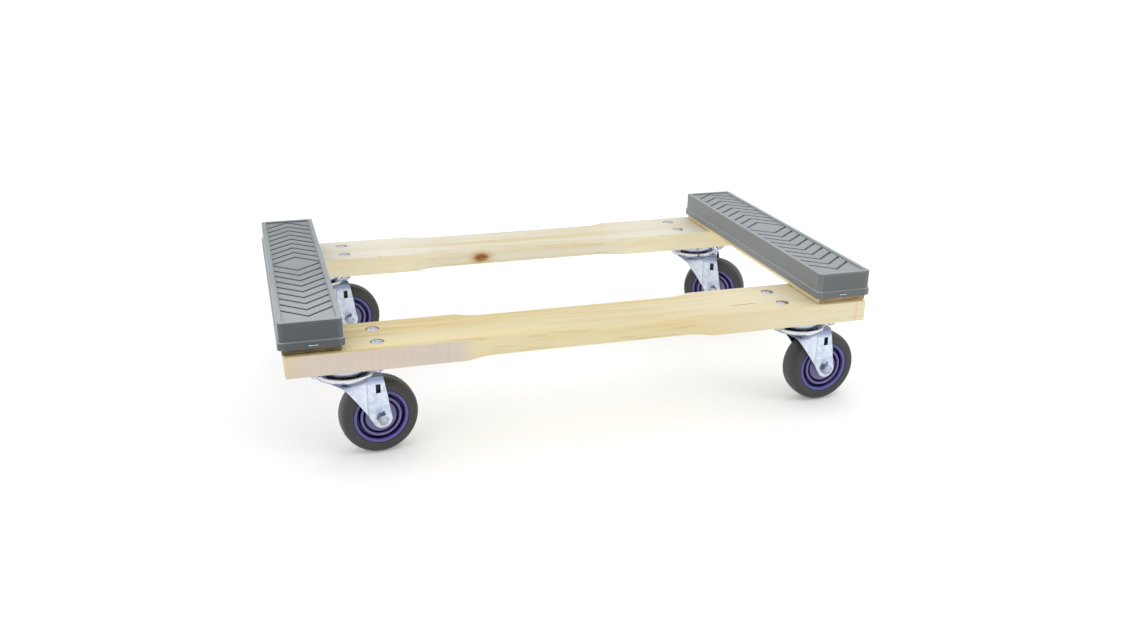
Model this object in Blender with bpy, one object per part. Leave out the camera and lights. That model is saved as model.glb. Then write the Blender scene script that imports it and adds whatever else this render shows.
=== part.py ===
"""Four-wheel furniture dolly: two notched hardwood rails, two rubber-capped end boards, four swivel casters.

Frame: metres, +Z up, floor at z = 0.  X runs along the rails, Y from the front rail to the back one.
The origin is on the floor, under the centre of the whole object's bounding box.
"""

import math

import bmesh
import bpy
from mathutils import Matrix, Vector

GAP = 0.0003                      # clearance between pieces that touch
HOLE_SEGMENTS = 12                # also of bolts and nuts, so it is a multiple of six
RACE_SEGMENTS = 20
CROWN_SEGMENTS = 26
CORE_SEGMENTS = 20
TYRE_SEGMENTS = 36

# Deck: rails along X, end boards along Y on top of the rails' ends
DECK_X = -0.0045                  # the casters trail past the right end, so the deck sits left of the origin
DECK_UNDERSIDE = 0.1292           # the casters' overall height
DECK_WIDTH = 0.4572               # across the two rails
RAIL_LENGTH = 0.762
RAIL_WIDTH = 0.0932
RAIL_THICKNESS = 0.0272
BOARD_INNER_X = 0.3135            # distance of the board's two long edges from the deck's middle
BOARD_OUTER_X = 0.3828
BOARD_LENGTH = 0.4440
BOARD_THICKNESS = 0.0280

# Hand-grip notch along the middle of both edges of a rail, run with a bullnose cutter
NOTCH_HALF_LENGTH = 0.1255        # straight part
NOTCH_DEPTH = 0.0033
NOTCH_NOSE_RADIUS = 0.0095
NOTCH_CUTTER_RADIUS = 0.065       # the arc on which the cutter leaves the edge
NOTCH_STEPS = (0.0, 0.35, 0.60, 0.78, 0.91, 1.0)
NOSE_SEGMENTS = 3

# Rubber cap over each end board
CAP_WALL = 0.0026
CAP_TOP = 0.1979
CAP_RIM_WIDTH = 0.0062
CAP_RIM_HEIGHT = 0.0018
CAP_FLANGE_TOP = 0.1738
CAP_FLANGE_BOTTOM = 0.1641
CAP_FLANGE_STEP = 0.0019
CAP_CORNER_RADIUS = 0.0045
CAP_EDGE_ROUNDING = 0.0011
CAP_CAVITY_RADIUS = 0.0004
CHEVRON_COUNT = 9                 # on each side of the pattern's middle
CHEVRON_MIDDLE_Y = 0.0070         # the pattern sits a little towards the back
CHEVRON_FIRST = 0.0298            # from the pattern's middle to the first chevron's point
CHEVRON_PITCH = 0.0224
CHEVRON_SLOPE = 0.86
CHEVRON_TOP_HALF_WIDTH = 0.0026
CHEVRON_FLOOR_HALF_WIDTH = 0.0016
CHEVRON_DEPTH = 0.0016
CHEVRON_SIDE_LAND = 0.0010        # plain rubber between a chevron's end and the rim
CUTTER_OVERSHOOT = 0.0005         # how far a cutter stands out of the surface it cuts

# Staple through the cap's flange at the near end of each cap
STAPLE_X = 0.3460
STAPLE_Z = 0.1686
STAPLE_WIDTH = 0.0110
STAPLE_WIRE = 0.0011
STAPLE_THICKNESS = 0.0007
STAPLE_LEG = 0.0034
STAPLE_POCKET_DEPTH = 0.0038

# Casters
SWIVEL_X = 0.3079                 # from the deck's middle
SWIVEL_Y = DECK_WIDTH / 2 - RAIL_WIDTH / 2
PLATE_LENGTH = 0.092
PLATE_WIDTH = 0.060
PLATE_THICKNESS = 0.003
PLATE_CORNER_RADIUS = 0.008
BOLT_SPACING_X = 0.0762
BOLT_SPACING_Y = 0.04445
BOLT_RADIUS = 0.0039
BOLT_HOLE_RADIUS = 0.0043
BOLT_HEAD_RADIUS = 0.0086
BOLT_HEAD_SINK = 0.0012
BOLT_HEAD_RISE = 0.0012
BOLT_RECESS_RADIUS = 0.0091
BOLT_END = 0.0025                 # bare thread past the nut
BOLT_NUT_HEIGHT = 0.0062
BOLT_NUT_RADIUS = 0.0072
RACE_CENTER = 0.0040              # the race and the crown are turned as rings, later drilled to the pin's hole
RACE_TOP = -0.0010
RACE_FLOOR = -0.0100
RACE_PROFILE = (
    (RACE_CENTER, RACE_TOP), (0.0296, RACE_TOP), (0.0294, -0.0112), (0.0286, -0.0130),
    (0.0250, -0.0130), (0.0242, RACE_FLOOR), (RACE_CENTER, RACE_FLOOR),
)
CASTER_TRAIL = 0.0386             # from the swivel axis back to the axle
WHEEL_RADIUS = 0.050
WHEEL_WIDTH = 0.0318
AXLE_DROP = WHEEL_RADIUS - DECK_UNDERSIDE
FORK_INNER_Y = 0.0186
FORK_THICKNESS = 0.0028
FORK_OUTER_Y = FORK_INNER_Y + FORK_THICKNESS
FORK_CORNER_RADIUS = 0.0055
FORK_FOOT_RADIUS = 0.0124
CROWN_RADIUS = 0.0365
CROWN_FLOOR = -0.0170
CROWN_UNDERSIDE = -0.0205
CROWN_RIM_BOTTOM = -0.0196
CROWN_PROFILE = (
    (RACE_CENTER, CROWN_FLOOR), (0.0270, CROWN_FLOOR), (0.0327, -0.0150), (0.0348, -0.0131),
    (CROWN_RADIUS, -0.0137), (CROWN_RADIUS, -0.0190), (0.0352, CROWN_RIM_BOTTOM), (0.0328, CROWN_RIM_BOTTOM),
    (0.0320, CROWN_UNDERSIDE), (RACE_CENTER, CROWN_UNDERSIDE),
)
SHOULDER_TOP_RADIUS = 0.0334
SHOULDER_HALF_LENGTH = 0.0254
SHOULDER_SLOPE = 1.20
SHOULDER_ROOT = 0.0014            # how deep the shoulder is let into the leg
FORK_LEADING_EDGE = (             # seen from the side: (along the trail, height)
    (-0.0244, -0.0180), (-0.0228, -0.0222), (-0.0150, -0.0266), (-0.0058, -0.0350),
    (0.0078, -0.0532), (0.0192, -0.0700),
)
FORK_TRAILING_EDGE = ((0.0465, -0.0500), (0.0418, -0.0240), (0.0404, -0.0180), (0.0385, -0.0165))
FORK_TOP_EDGE_START = (-0.0232, -0.0165)
FORK_FOOT_TURN = (214, 364)       # degrees of the foot's arc round the axle
FORK_FOOT_STEPS = 8
FORK_SLOT_CENTER = (0.0346, -0.0376)
FORK_SLOT_SIZE = (0.0062, 0.0118)
FORK_PILOT_HOLE = (0.0400, -0.0706)
FORK_PILOT_RADIUS = 0.0012
KINGPIN_RADIUS = 0.0060
KINGPIN_HOLE_RADIUS = 0.0064
KINGPIN_HEAD_RADIUS = 0.0105
KINGPIN_HEAD_TOP = -0.0006
KINGPIN_HEAD_SEAT = -0.0058
KINGPIN_SEAT_RADIUS = 0.0112
KINGPIN_WASHER_RADIUS = 0.0100
KINGPIN_WASHER_THICKNESS = 0.0028
KINGPIN_RIVET_RADII = (0.0068, 0.0052)
BALL_CIRCLE_RADIUS = 0.0205
BALL_COUNT = 10
BALL_RADIUS = 0.0031
CAGE_SHARE = 0.44                 # thickness of the cage between two balls, as a share of a ball
AXLE_RADIUS = 0.0040
AXLE_HOLE_RADIUS = 0.0044
SLEEVE_RADIUS = 0.0063
CORE_BORE_RADIUS = 0.0067
CORE_RADIUS = 0.0352
CORE_HALF_PROFILE = (             # (radius, height) on one face: boss, inner disc, groove, ring, groove, outer ring
    (CORE_BORE_RADIUS, 0.0178), (0.0108, 0.0178), (0.0116, 0.0140), (0.0200, 0.0134),
    (0.0206, 0.0080), (0.0228, 0.0080), (0.0234, 0.0142), (0.0262, 0.0142),
    (0.0270, 0.0060), (0.0306, 0.0060), (0.0316, 0.0150), (CORE_RADIUS, 0.0150),
)
TYRE_HALF_PROFILE = (             # (radius, distance in from the tyre's side)
    (CORE_RADIUS + GAP, 0.0004), (0.0440, 0.0004), (0.0475, 0.0024), (0.0494, 0.0062), (WHEEL_RADIUS, 0.0120),
)
SLEEVE_HALF_LENGTH = 0.0182
HEX_HEAD_RADIUS = 0.0074
HEX_HEAD_HEIGHT = 0.0052
HEX_CHAMFER = 0.0009
AXLE_END = 0.0098                 # the axle bolt's reach past the far leg
AXLE_NUT_HEIGHT = 0.0078
AXLE_NUT_COLLAR = 0.0018

# Way each caster trails at rest, in degrees from +X
TRAIL_ANGLE = {
    "front_left": 7.6,
    "front_right": 3.7,
    "back_left": 5.1,
    "back_right": -29.0,
}


def clear_scene():
    for existing in list(bpy.data.objects):
        bpy.data.objects.remove(existing, do_unlink=True)


def make_material(name, color, roughness, metallic=0.0):
    material = bpy.data.materials.new(name)
    material.use_nodes = True
    shader = material.node_tree.nodes["Principled BSDF"]
    shader.inputs["Base Color"].default_value = (*color, 1.0)
    shader.inputs["Roughness"].default_value = roughness
    shader.inputs["Metallic"].default_value = metallic
    material.diffuse_color = (*color, 1.0)
    return material


def finish_mesh(bm, name, smooth=False):
    """Closes a bmesh into a mesh with its faces pointing out."""
    bmesh.ops.remove_doubles(bm, verts=bm.verts, dist=1e-6)
    bmesh.ops.recalc_face_normals(bm, faces=bm.faces)
    mesh = bpy.data.meshes.new(name)
    bm.to_mesh(mesh)
    bm.free()
    if smooth:
        mesh.shade_smooth()
        mesh.set_sharp_from_angle(angle=math.radians(40))
    return mesh


def add_object(name, mesh, material=None, parent=None, location=(0, 0, 0), angle=0.0):
    obj = bpy.data.objects.new(name, mesh)
    bpy.context.scene.collection.objects.link(obj)
    obj.parent = parent
    obj.location = location
    obj.rotation_euler = (0, 0, math.radians(angle))
    if material is not None:
        if not mesh.materials:
            mesh.materials.append(material)
    return obj


def skin(bm, loops):
    """Joins equal point loops with quads and closes both ends."""
    rows = [[bm.verts.new(point) for point in loop] for loop in loops]
    count = len(rows[0])
    for near, far in zip(rows, rows[1:]):
        for i in range(count):
            j = (i + 1) % count
            bm.faces.new((near[i], near[j], far[j], far[i]))
    bm.faces.new(rows[0])
    bm.faces.new(rows[-1])


def loft_mesh(name, loops, smooth=False):
    bm = bmesh.new()
    skin(bm, loops)
    return finish_mesh(bm, name, smooth)


def add_turned(bm, profile, segments, axis="Z", closed=True):
    """Spins a profile of (radius, height) points about an axis through the origin."""
    if axis == "Z":
        points = [Vector((radius, 0, height)) for radius, height in profile]
        direction = Vector((0, 0, 1))
    else:
        points = [Vector((radius, height, 0)) for radius, height in profile]
        direction = Vector((0, 1, 0))
    verts = [bm.verts.new(point) for point in points]
    pairs = list(zip(verts, verts[1:]))
    if closed:
        pairs.append((verts[-1], verts[0]))
    edges = [bm.edges.new(pair) for pair in pairs]
    bmesh.ops.spin(bm, geom=verts + edges, cent=(0, 0, 0), axis=direction,
                   angle=math.tau, steps=segments, use_merge=True)


def turned_mesh(name, profile, segments, axis="Z", closed=True):
    bm = bmesh.new()
    add_turned(bm, profile, segments, axis, closed)
    return finish_mesh(bm, name, smooth=True)


def mirrored(half):
    """Closes a half profile, listed from the bore out to the rim, with its mirror image in height."""
    return [*half, *((radius, -height) for radius, height in reversed(half))]


def add_cylinder(bm, center, radius, depth, segments=HOLE_SEGMENTS, axis="Z"):
    turn = Matrix.Rotation(math.radians(90), 4, "X") if axis == "Y" else Matrix.Identity(4)
    bmesh.ops.create_cone(bm, cap_ends=True, segments=segments, radius1=radius, radius2=radius,
                          depth=depth, matrix=Matrix.Translation(center) @ turn)


def add_box(bm, center, size):
    scale = Matrix.Diagonal((*size, 1.0))
    bmesh.ops.create_cube(bm, size=1.0, matrix=Matrix.Translation(center) @ scale)


def cut_or_join(mesh, other_mesh, operation, smooth=False):
    """Returns the mesh after an exact Boolean with another one."""
    body = add_object("body", mesh)
    other = add_object("other", other_mesh)
    modifier = body.modifiers.new("Boolean", "BOOLEAN")
    modifier.operation = operation
    modifier.solver = "EXACT"
    modifier.object = other
    depsgraph = bpy.context.evaluated_depsgraph_get()
    result = bpy.data.meshes.new_from_object(body.evaluated_get(depsgraph))
    result.name = mesh.name
    bpy.data.objects.remove(body)
    bpy.data.objects.remove(other)
    if smooth:
        result.shade_smooth()
        result.set_sharp_from_angle(angle=math.radians(40))
    return result


def rounded_rectangle(x_low, x_high, y_low, y_high, radius, height, segments=3):
    """Point loop of a rectangle with round corners, anticlockwise from its right side."""
    corners = (
        (x_high - radius, y_high - radius, 0),
        (x_low + radius, y_high - radius, 90),
        (x_low + radius, y_low + radius, 180),
        (x_high - radius, y_low + radius, 270),
    )
    points = []
    for center_x, center_y, start in corners:
        for step in range(segments + 1):
            turn = math.radians(start + 90 * step / segments)
            points.append((center_x + radius * math.cos(turn), center_y + radius * math.sin(turn), height))
    return points


def cutter_plunge(x):
    """How far the bullnose cutter's outer lip has gone into a rail's edge at x."""
    full = NOTCH_DEPTH + NOTCH_NOSE_RADIUS
    beyond = max(0.0, abs(x) - NOTCH_HALF_LENGTH)
    if beyond >= notch_run_out():
        return 0.0
    return full - (NOTCH_CUTTER_RADIUS - math.sqrt(NOTCH_CUTTER_RADIUS ** 2 - beyond ** 2))


def notch_run_out():
    """Length of the arc at each end of the notch."""
    full = NOTCH_DEPTH + NOTCH_NOSE_RADIUS
    return math.sqrt(NOTCH_CUTTER_RADIUS ** 2 - (NOTCH_CUTTER_RADIUS - full) ** 2)


def rail_edge(plunge):
    """Half of a rail's edge outline, as (inset, height) from the top face down to mid height."""
    radius = NOTCH_NOSE_RADIUS
    nose_height = RAIL_THICKNESS / 2 - radius
    start = math.acos(min(1.0, plunge / radius))
    outline = []
    for step in range(NOSE_SEGMENTS + 1):
        turn = math.pi / 2 + (start - math.pi / 2) * step / NOSE_SEGMENTS
        outline.append((plunge - radius * math.cos(turn), nose_height + radius * math.sin(turn)))
    if plunge < 1e-6:
        outline = [(0.0, RAIL_THICKNESS / 2)] * (NOSE_SEGMENTS + 1)
    return outline


def rail_section(x):
    upper = rail_edge(cutter_plunge(x))
    edge = upper + [(inset, -height) for inset, height in reversed(upper)]
    half = RAIL_WIDTH / 2
    right = [(x, half - inset, height) for inset, height in edge]
    left = [(x, inset - half, height) for inset, height in reversed(edge)]
    return right + left


def bolt_positions():
    """The four bolts of a caster: offsets from its swivel axis."""
    return [(side_x * BOLT_SPACING_X / 2, side_y * BOLT_SPACING_Y / 2)
            for side_x in (-1, 1) for side_y in (-1, 1)]


def rail_mesh():
    run_out = notch_run_out()
    right_half = [NOTCH_HALF_LENGTH + run_out * step for step in NOTCH_STEPS]
    stations = [-RAIL_LENGTH / 2] + [-x for x in reversed(right_half)] + right_half + [RAIL_LENGTH / 2]
    blank = loft_mesh("rail", [rail_section(x) for x in stations])
    holes = bmesh.new()
    for end in (-1, 1):
        for offset_x, offset_y in bolt_positions():
            center = (end * SWIVEL_X + offset_x, offset_y, 0)
            if end * offset_x < 0:
                add_stepped_hole(holes, center, BOLT_HOLE_RADIUS, BOLT_RECESS_RADIUS, RAIL_THICKNESS / 2,
                                 BOLT_HEAD_SINK + GAP, RAIL_THICKNESS * 1.5)
            else:
                add_cylinder(holes, center, BOLT_HOLE_RADIUS, RAIL_THICKNESS * 1.5)
    return cut_or_join(blank, finish_mesh(holes, "rail_holes"), "DIFFERENCE", smooth=True)


def add_stepped_hole(bm, center, hole_radius, seat_radius, surface, seat_depth, length):
    """Cutter for a through hole with a wider round seat in the surface above it."""
    seat = surface - seat_depth
    rows = (
        (hole_radius, surface - length),
        (hole_radius, seat),
        (seat_radius, seat),
        (seat_radius, surface + CUTTER_OVERSHOOT),
    )
    turns = [math.tau * step / HOLE_SEGMENTS for step in range(HOLE_SEGMENTS)]
    skin(bm, [
        [(center[0] + radius * math.cos(turn), center[1] + radius * math.sin(turn), height) for turn in turns]
        for radius, height in rows
    ])


def board_mesh():
    """End board, centred on its own middle; its outer bolts' heads are sunk below its top."""
    blank = bmesh.new()
    add_box(blank, (0, 0, 0), (BOARD_OUTER_X - BOARD_INNER_X, BOARD_LENGTH, BOARD_THICKNESS))
    holes = bmesh.new()
    middle = (BOARD_INNER_X + BOARD_OUTER_X) / 2
    bolt_x = SWIVEL_X + BOLT_SPACING_X / 2 - middle
    for side in (-1, 1):
        for offset_y in (-BOLT_SPACING_Y / 2, BOLT_SPACING_Y / 2):
            center = (bolt_x, side * SWIVEL_Y + offset_y, 0)
            add_stepped_hole(holes, center, BOLT_HOLE_RADIUS, BOLT_RECESS_RADIUS, BOARD_THICKNESS / 2,
                             BOLT_HEAD_SINK + BOLT_HEAD_RISE + GAP, BOARD_THICKNESS * 1.5)
    return cut_or_join(finish_mesh(blank, "end_board"), finish_mesh(holes, "board_holes"), "DIFFERENCE", smooth=True)


def chevron_outline(point_y, half_width, height, facing):
    """Six-sided V band across the cap's field, its point away from the pattern's middle."""
    reach = (BOARD_OUTER_X - BOARD_INNER_X) / 2 + GAP + CAP_WALL - CAP_RIM_WIDTH - CHEVRON_SIDE_LAND
    drop = CHEVRON_SLOPE * reach
    outer = point_y + half_width
    inner = point_y - half_width
    outline = [
        (-reach, outer - drop), (0, outer), (reach, outer - drop),
        (reach, inner - drop), (0, inner), (-reach, inner - drop),
    ]
    return [(x, CHEVRON_MIDDLE_Y + facing * y, height) for x, y in outline]


def chevron_cutter(field_height):
    """All the V grooves of a cap, as one cutter with sloping walls."""
    bm = bmesh.new()
    flare = (CHEVRON_TOP_HALF_WIDTH - CHEVRON_FLOOR_HALF_WIDTH) * CUTTER_OVERSHOOT / CHEVRON_DEPTH
    for facing in (-1, 1):
        for index in range(CHEVRON_COUNT):
            point_y = CHEVRON_FIRST + CHEVRON_PITCH * index
            skin(bm, [
                chevron_outline(point_y, CHEVRON_FLOOR_HALF_WIDTH, field_height - CHEVRON_DEPTH, facing),
                chevron_outline(point_y, CHEVRON_TOP_HALF_WIDTH + flare, field_height + CUTTER_OVERSHOOT, facing),
            ])
    return finish_mesh(bm, "chevrons")


def cap_mesh():
    """Rubber cap: an upturned tray round the board, with a rim, chevron grooves and a stepped lower flange."""
    half_x = (BOARD_OUTER_X - BOARD_INNER_X) / 2 + GAP
    half_y = BOARD_LENGTH / 2 + GAP
    board_top = DECK_UNDERSIDE + RAIL_THICKNESS + GAP + BOARD_THICKNESS

    def loop(grow, height, radius):
        x = half_x + grow
        y = half_y + grow
        return rounded_rectangle(-x, x, -y, y, radius, height)

    top_grow = CAP_WALL - CAP_EDGE_ROUNDING
    step = CAP_FLANGE_STEP
    field = CAP_TOP - CAP_RIM_HEIGHT
    loops = [
        loop(0, board_top + GAP, CAP_CAVITY_RADIUS),
        loop(0, CAP_FLANGE_BOTTOM, CAP_CAVITY_RADIUS),
        loop(CAP_WALL + step, CAP_FLANGE_BOTTOM, CAP_CORNER_RADIUS + step),
        loop(CAP_WALL + step, CAP_FLANGE_TOP - step / 3, CAP_CORNER_RADIUS + step),
        loop(CAP_WALL + step * 2 / 3, CAP_FLANGE_TOP, CAP_CORNER_RADIUS + step * 2 / 3),
        loop(CAP_WALL, CAP_FLANGE_TOP, CAP_CORNER_RADIUS),
        loop(CAP_WALL, CAP_TOP - CAP_EDGE_ROUNDING, CAP_CORNER_RADIUS),
        loop(top_grow + CAP_EDGE_ROUNDING * 0.7, CAP_TOP - CAP_EDGE_ROUNDING * 0.3, CAP_CORNER_RADIUS),
        loop(top_grow, CAP_TOP, CAP_CORNER_RADIUS),
        loop(CAP_WALL - CAP_RIM_WIDTH, CAP_TOP, CAP_WALL),
        loop(CAP_WALL - CAP_RIM_WIDTH - CAP_RIM_HEIGHT / 3, field, CAP_WALL - CAP_RIM_HEIGHT / 3),
    ]
    tray = loft_mesh("rubber_cap", loops)
    grooved = cut_or_join(tray, chevron_cutter(field), "DIFFERENCE")
    return cut_or_join(grooved, staple_pockets(-half_y - CAP_WALL - step), "DIFFERENCE", smooth=True)


def staple_pockets(face_y):
    """Two slits for a staple's legs, in the flange's near face."""
    bm = bmesh.new()
    middle = (BOARD_INNER_X + BOARD_OUTER_X) / 2
    width = STAPLE_WIRE + 2 * GAP
    for side in (-1, 1):
        leg_x = side * (STAPLE_WIDTH - STAPLE_WIRE) / 2
        add_box(bm, (STAPLE_X - middle + leg_x, face_y + (STAPLE_POCKET_DEPTH - CUTTER_OVERSHOOT) / 2, STAPLE_Z),
                (width, STAPLE_POCKET_DEPTH + CUTTER_OVERSHOOT, width))
    return finish_mesh(bm, "staple_pockets")


def staple_mesh():
    """Flat-wire staple, crown along X, legs along +Y; the crown's back is at y = 0."""
    half = STAPLE_WIDTH / 2
    inner = half - STAPLE_WIRE
    outline = [
        (-half, STAPLE_LEG), (-half, -STAPLE_THICKNESS), (half, -STAPLE_THICKNESS), (half, STAPLE_LEG),
        (inner, STAPLE_LEG), (inner, 0), (-inner, 0), (-inner, STAPLE_LEG),
    ]
    loops = [[(x, y, side * STAPLE_WIRE / 2) for x, y in outline] for side in (-1, 1)]
    return loft_mesh("staple", loops)


def hex_radius(index, corner_radius):
    """Radius of the index-th of twelve points round a hexagon: corners and mid flats in turn."""
    return corner_radius if index % 2 == 0 else corner_radius * math.cos(math.radians(30))


def round_loop(radius, height, hexagon=False):
    points = []
    for index in range(HOLE_SEGMENTS):
        turn = math.tau * index / HOLE_SEGMENTS
        reach = hex_radius(index, radius) if hexagon else radius
        points.append((reach * math.cos(turn), reach * math.sin(turn), height))
    return points


def carriage_bolt_mesh(grip):
    """Domed carriage bolt with its nut, the underside of its head at z = 0 and grip down to the plate."""
    rise = BOLT_HEAD_SINK + BOLT_HEAD_RISE
    nut_top = -grip - GAP
    tip = nut_top - BOLT_NUT_HEIGHT - BOLT_END
    loops = [
        round_loop(BOLT_HEAD_RADIUS * 0.50, rise),
        round_loop(BOLT_HEAD_RADIUS, rise * 0.28),
        round_loop(BOLT_RADIUS, 0),
        round_loop(BOLT_RADIUS, nut_top),
        round_loop(BOLT_NUT_RADIUS, nut_top, hexagon=True),
        round_loop(BOLT_NUT_RADIUS, nut_top - BOLT_NUT_HEIGHT, hexagon=True),
        round_loop(BOLT_RADIUS, nut_top - BOLT_NUT_HEIGHT),
        round_loop(BOLT_RADIUS, tip),
    ]
    return loft_mesh("carriage_bolt", loops, smooth=True)


def top_plate_mesh():
    """Mounting plate with its pressed upper race below it; its top face is at z = 0."""
    half_x = PLATE_LENGTH / 2
    half_y = PLATE_WIDTH / 2
    plate = loft_mesh("top_plate", [
        rounded_rectangle(-half_x, half_x, -half_y, half_y, PLATE_CORNER_RADIUS, height)
        for height in (-PLATE_THICKNESS, 0)
    ])
    race = turned_mesh("race", RACE_PROFILE, RACE_SEGMENTS)
    body = cut_or_join(plate, race, "UNION")
    holes = bmesh.new()
    add_stepped_hole(holes, (0, 0), KINGPIN_HOLE_RADIUS, KINGPIN_SEAT_RADIUS, 0.0, -KINGPIN_HEAD_SEAT + GAP,
                     -2 * RACE_FLOOR)
    for offset_x, offset_y in bolt_positions():
        add_cylinder(holes, (offset_x, offset_y, 0), BOLT_HOLE_RADIUS, 4 * PLATE_THICKNESS)
    return cut_or_join(body, finish_mesh(holes, "plate_holes"), "DIFFERENCE", smooth=True)


def ball_ring_mesh():
    """Ring of bearing balls held in a cage, between the plate's race and the fork's crown."""
    bm = bmesh.new()
    steps_per_ball = 4
    sides = 4
    total = BALL_COUNT * steps_per_ball
    mean_swell = (1 + CAGE_SHARE) / 2
    rows = []
    for step in range(total):
        turn = math.tau * step / total
        swell = mean_swell + (1 - mean_swell) * math.cos(math.tau * step / steps_per_ball)
        row = []
        for side in range(sides):
            lean = math.tau * side / sides
            reach = BALL_CIRCLE_RADIUS + BALL_RADIUS * swell * math.cos(lean)
            height = BALL_RADIUS * swell * math.sin(lean)
            row.append(bm.verts.new((reach * math.cos(turn), reach * math.sin(turn), height)))
        rows.append(row)
    for index, near in enumerate(rows):
        far = rows[(index + 1) % total]
        for i in range(sides):
            j = (i + 1) % sides
            bm.faces.new((near[i], near[j], far[j], far[i]))
    return finish_mesh(bm, "ball_ring", smooth=True)


def kingpin_mesh():
    """Swivel pin: flat head in the plate's seat, shank through the crown, riveted washer below."""
    washer_top = CROWN_UNDERSIDE - GAP
    washer_bottom = washer_top - KINGPIN_WASHER_THICKNESS
    rivet_bottom = washer_bottom - KINGPIN_WASHER_THICKNESS
    profile = [
        (0, KINGPIN_HEAD_TOP), (KINGPIN_HEAD_RADIUS, KINGPIN_HEAD_TOP), (KINGPIN_HEAD_RADIUS, KINGPIN_HEAD_SEAT),
        (KINGPIN_RADIUS, KINGPIN_HEAD_SEAT), (KINGPIN_RADIUS, washer_top), (KINGPIN_WASHER_RADIUS, washer_top),
        (KINGPIN_WASHER_RADIUS, washer_bottom), (KINGPIN_RIVET_RADII[0], washer_bottom),
        (KINGPIN_RIVET_RADII[1], rivet_bottom), (0, rivet_bottom),
    ]
    return turned_mesh("kingpin", profile, HOLE_SEGMENTS, closed=False)


def fork_side_outline():
    """Side view of the fork's legs as (x, z): raked leading edge, round foot, near-upright trailing edge."""
    start, end = FORK_FOOT_TURN
    foot = []
    for step in range(FORK_FOOT_STEPS + 1):
        turn = math.radians(start + (end - start) * step / FORK_FOOT_STEPS)
        foot.append((CASTER_TRAIL + FORK_FOOT_RADIUS * math.cos(turn),
                     AXLE_DROP + FORK_FOOT_RADIUS * math.sin(turn)))
    return [*FORK_LEADING_EDGE, *foot, *FORK_TRAILING_EDGE, FORK_TOP_EDGE_START]


def channel_loop(x):
    """Section of the pressed channel that becomes the fork: two legs and a web, with round shoulders."""
    top = CROWN_FLOOR - GAP
    bottom = AXLE_DROP - 2 * FORK_FOOT_RADIUS
    outer = []
    inner = []
    for step in range(4):
        turn = math.radians(30 * step)
        radius = FORK_CORNER_RADIUS
        outer.append((FORK_OUTER_Y - radius + radius * math.cos(turn), top - radius + radius * math.sin(turn)))
        radius = FORK_CORNER_RADIUS - FORK_THICKNESS
        center_y = FORK_OUTER_Y - FORK_CORNER_RADIUS
        inner.append((center_y + radius * math.cos(turn), top - FORK_CORNER_RADIUS + radius * math.sin(turn)))
    outer = [(FORK_OUTER_Y, bottom)] + outer
    inner = [(FORK_INNER_Y, bottom)] + inner
    outside = outer + [(-y, z) for y, z in reversed(outer)]
    inside = inner + [(-y, z) for y, z in reversed(inner)]
    return [(x, y, z) for y, z in outside + list(reversed(inside))]


def shoulder_mesh(side):
    """Flared shoulder that leads from the crown's round rim down to the flat face of a leg."""
    inner_y = FORK_OUTER_Y - SHOULDER_ROOT
    foot_y = FORK_OUTER_Y - GAP
    top = CROWN_RIM_BOTTOM + GAP
    columns = 6
    loops = []
    for column in range(columns + 1):
        x = SHOULDER_HALF_LENGTH * (2 * column / columns - 1)
        overhang = math.sqrt(SHOULDER_TOP_RADIUS ** 2 - x ** 2) - foot_y
        drop = SHOULDER_ROOT + SHOULDER_SLOPE * overhang
        section = [(foot_y + overhang * (1 - down) ** 2, top - drop * down) for down in (0.0, 0.5, 1.0)]
        section.append((inner_y, top - drop))
        section.append((inner_y, top))
        loops.append([(x, side * y, z) for y, z in section])
    return loft_mesh("shoulder", loops)


def fork_mesh():
    """Swivel fork: dished crown with a rolled rim, two legs, slots and axle holes."""
    crown = turned_mesh("yoke", CROWN_PROFILE, CROWN_SEGMENTS)
    channel_end = CASTER_TRAIL + 2 * FORK_FOOT_RADIUS
    channel = loft_mesh("channel", [channel_loop(x) for x in (-CROWN_RADIUS, channel_end)])
    side = fork_side_outline()
    sheet = channel
    for shoulder_side in (-1, 1):
        sheet = cut_or_join(sheet, shoulder_mesh(shoulder_side), "UNION")
    outline = loft_mesh("outline", [[(x, y, z) for x, z in side] for y in (-CROWN_RADIUS, CROWN_RADIUS)])
    body = cut_or_join(crown, cut_or_join(sheet, outline, "INTERSECT"), "UNION")
    holes = bmesh.new()
    across = 4 * FORK_OUTER_Y
    add_cylinder(holes, (0, 0, CROWN_FLOOR), KINGPIN_HOLE_RADIUS, KINGPIN_HEAD_RADIUS)
    add_cylinder(holes, (CASTER_TRAIL, 0, AXLE_DROP), AXLE_HOLE_RADIUS, across, axis="Y")
    add_cylinder(holes, (FORK_PILOT_HOLE[0], 0, FORK_PILOT_HOLE[1]), FORK_PILOT_RADIUS, across,
                 HOLE_SEGMENTS // 2, axis="Y")
    add_box(holes, (FORK_SLOT_CENTER[0], 0, FORK_SLOT_CENTER[1]), (FORK_SLOT_SIZE[0], across, FORK_SLOT_SIZE[1]))
    return cut_or_join(body, finish_mesh(holes, "fork_holes"), "DIFFERENCE", smooth=True)


def tyre_mesh():
    half = WHEEL_WIDTH / 2
    profile = mirrored([(radius, half - inset) for radius, inset in TYRE_HALF_PROFILE])
    return turned_mesh("tyre", profile, TYRE_SEGMENTS, axis="Y")


def wheel_core_mesh():
    """Moulded hub: a bore boss, an inner disc and two concentric rings with deep grooves between."""
    return turned_mesh("wheel_core", mirrored(CORE_HALF_PROFILE), CORE_SEGMENTS, axis="Y")


def sleeve_mesh():
    """Steel tube round the axle bolt, on which the hub turns; the fork's legs clamp its ends."""
    profile = mirrored(((AXLE_HOLE_RADIUS, SLEEVE_HALF_LENGTH), (SLEEVE_RADIUS, SLEEVE_HALF_LENGTH)))
    return turned_mesh("axle_sleeve", profile, HOLE_SEGMENTS, axis="Y")


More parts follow.
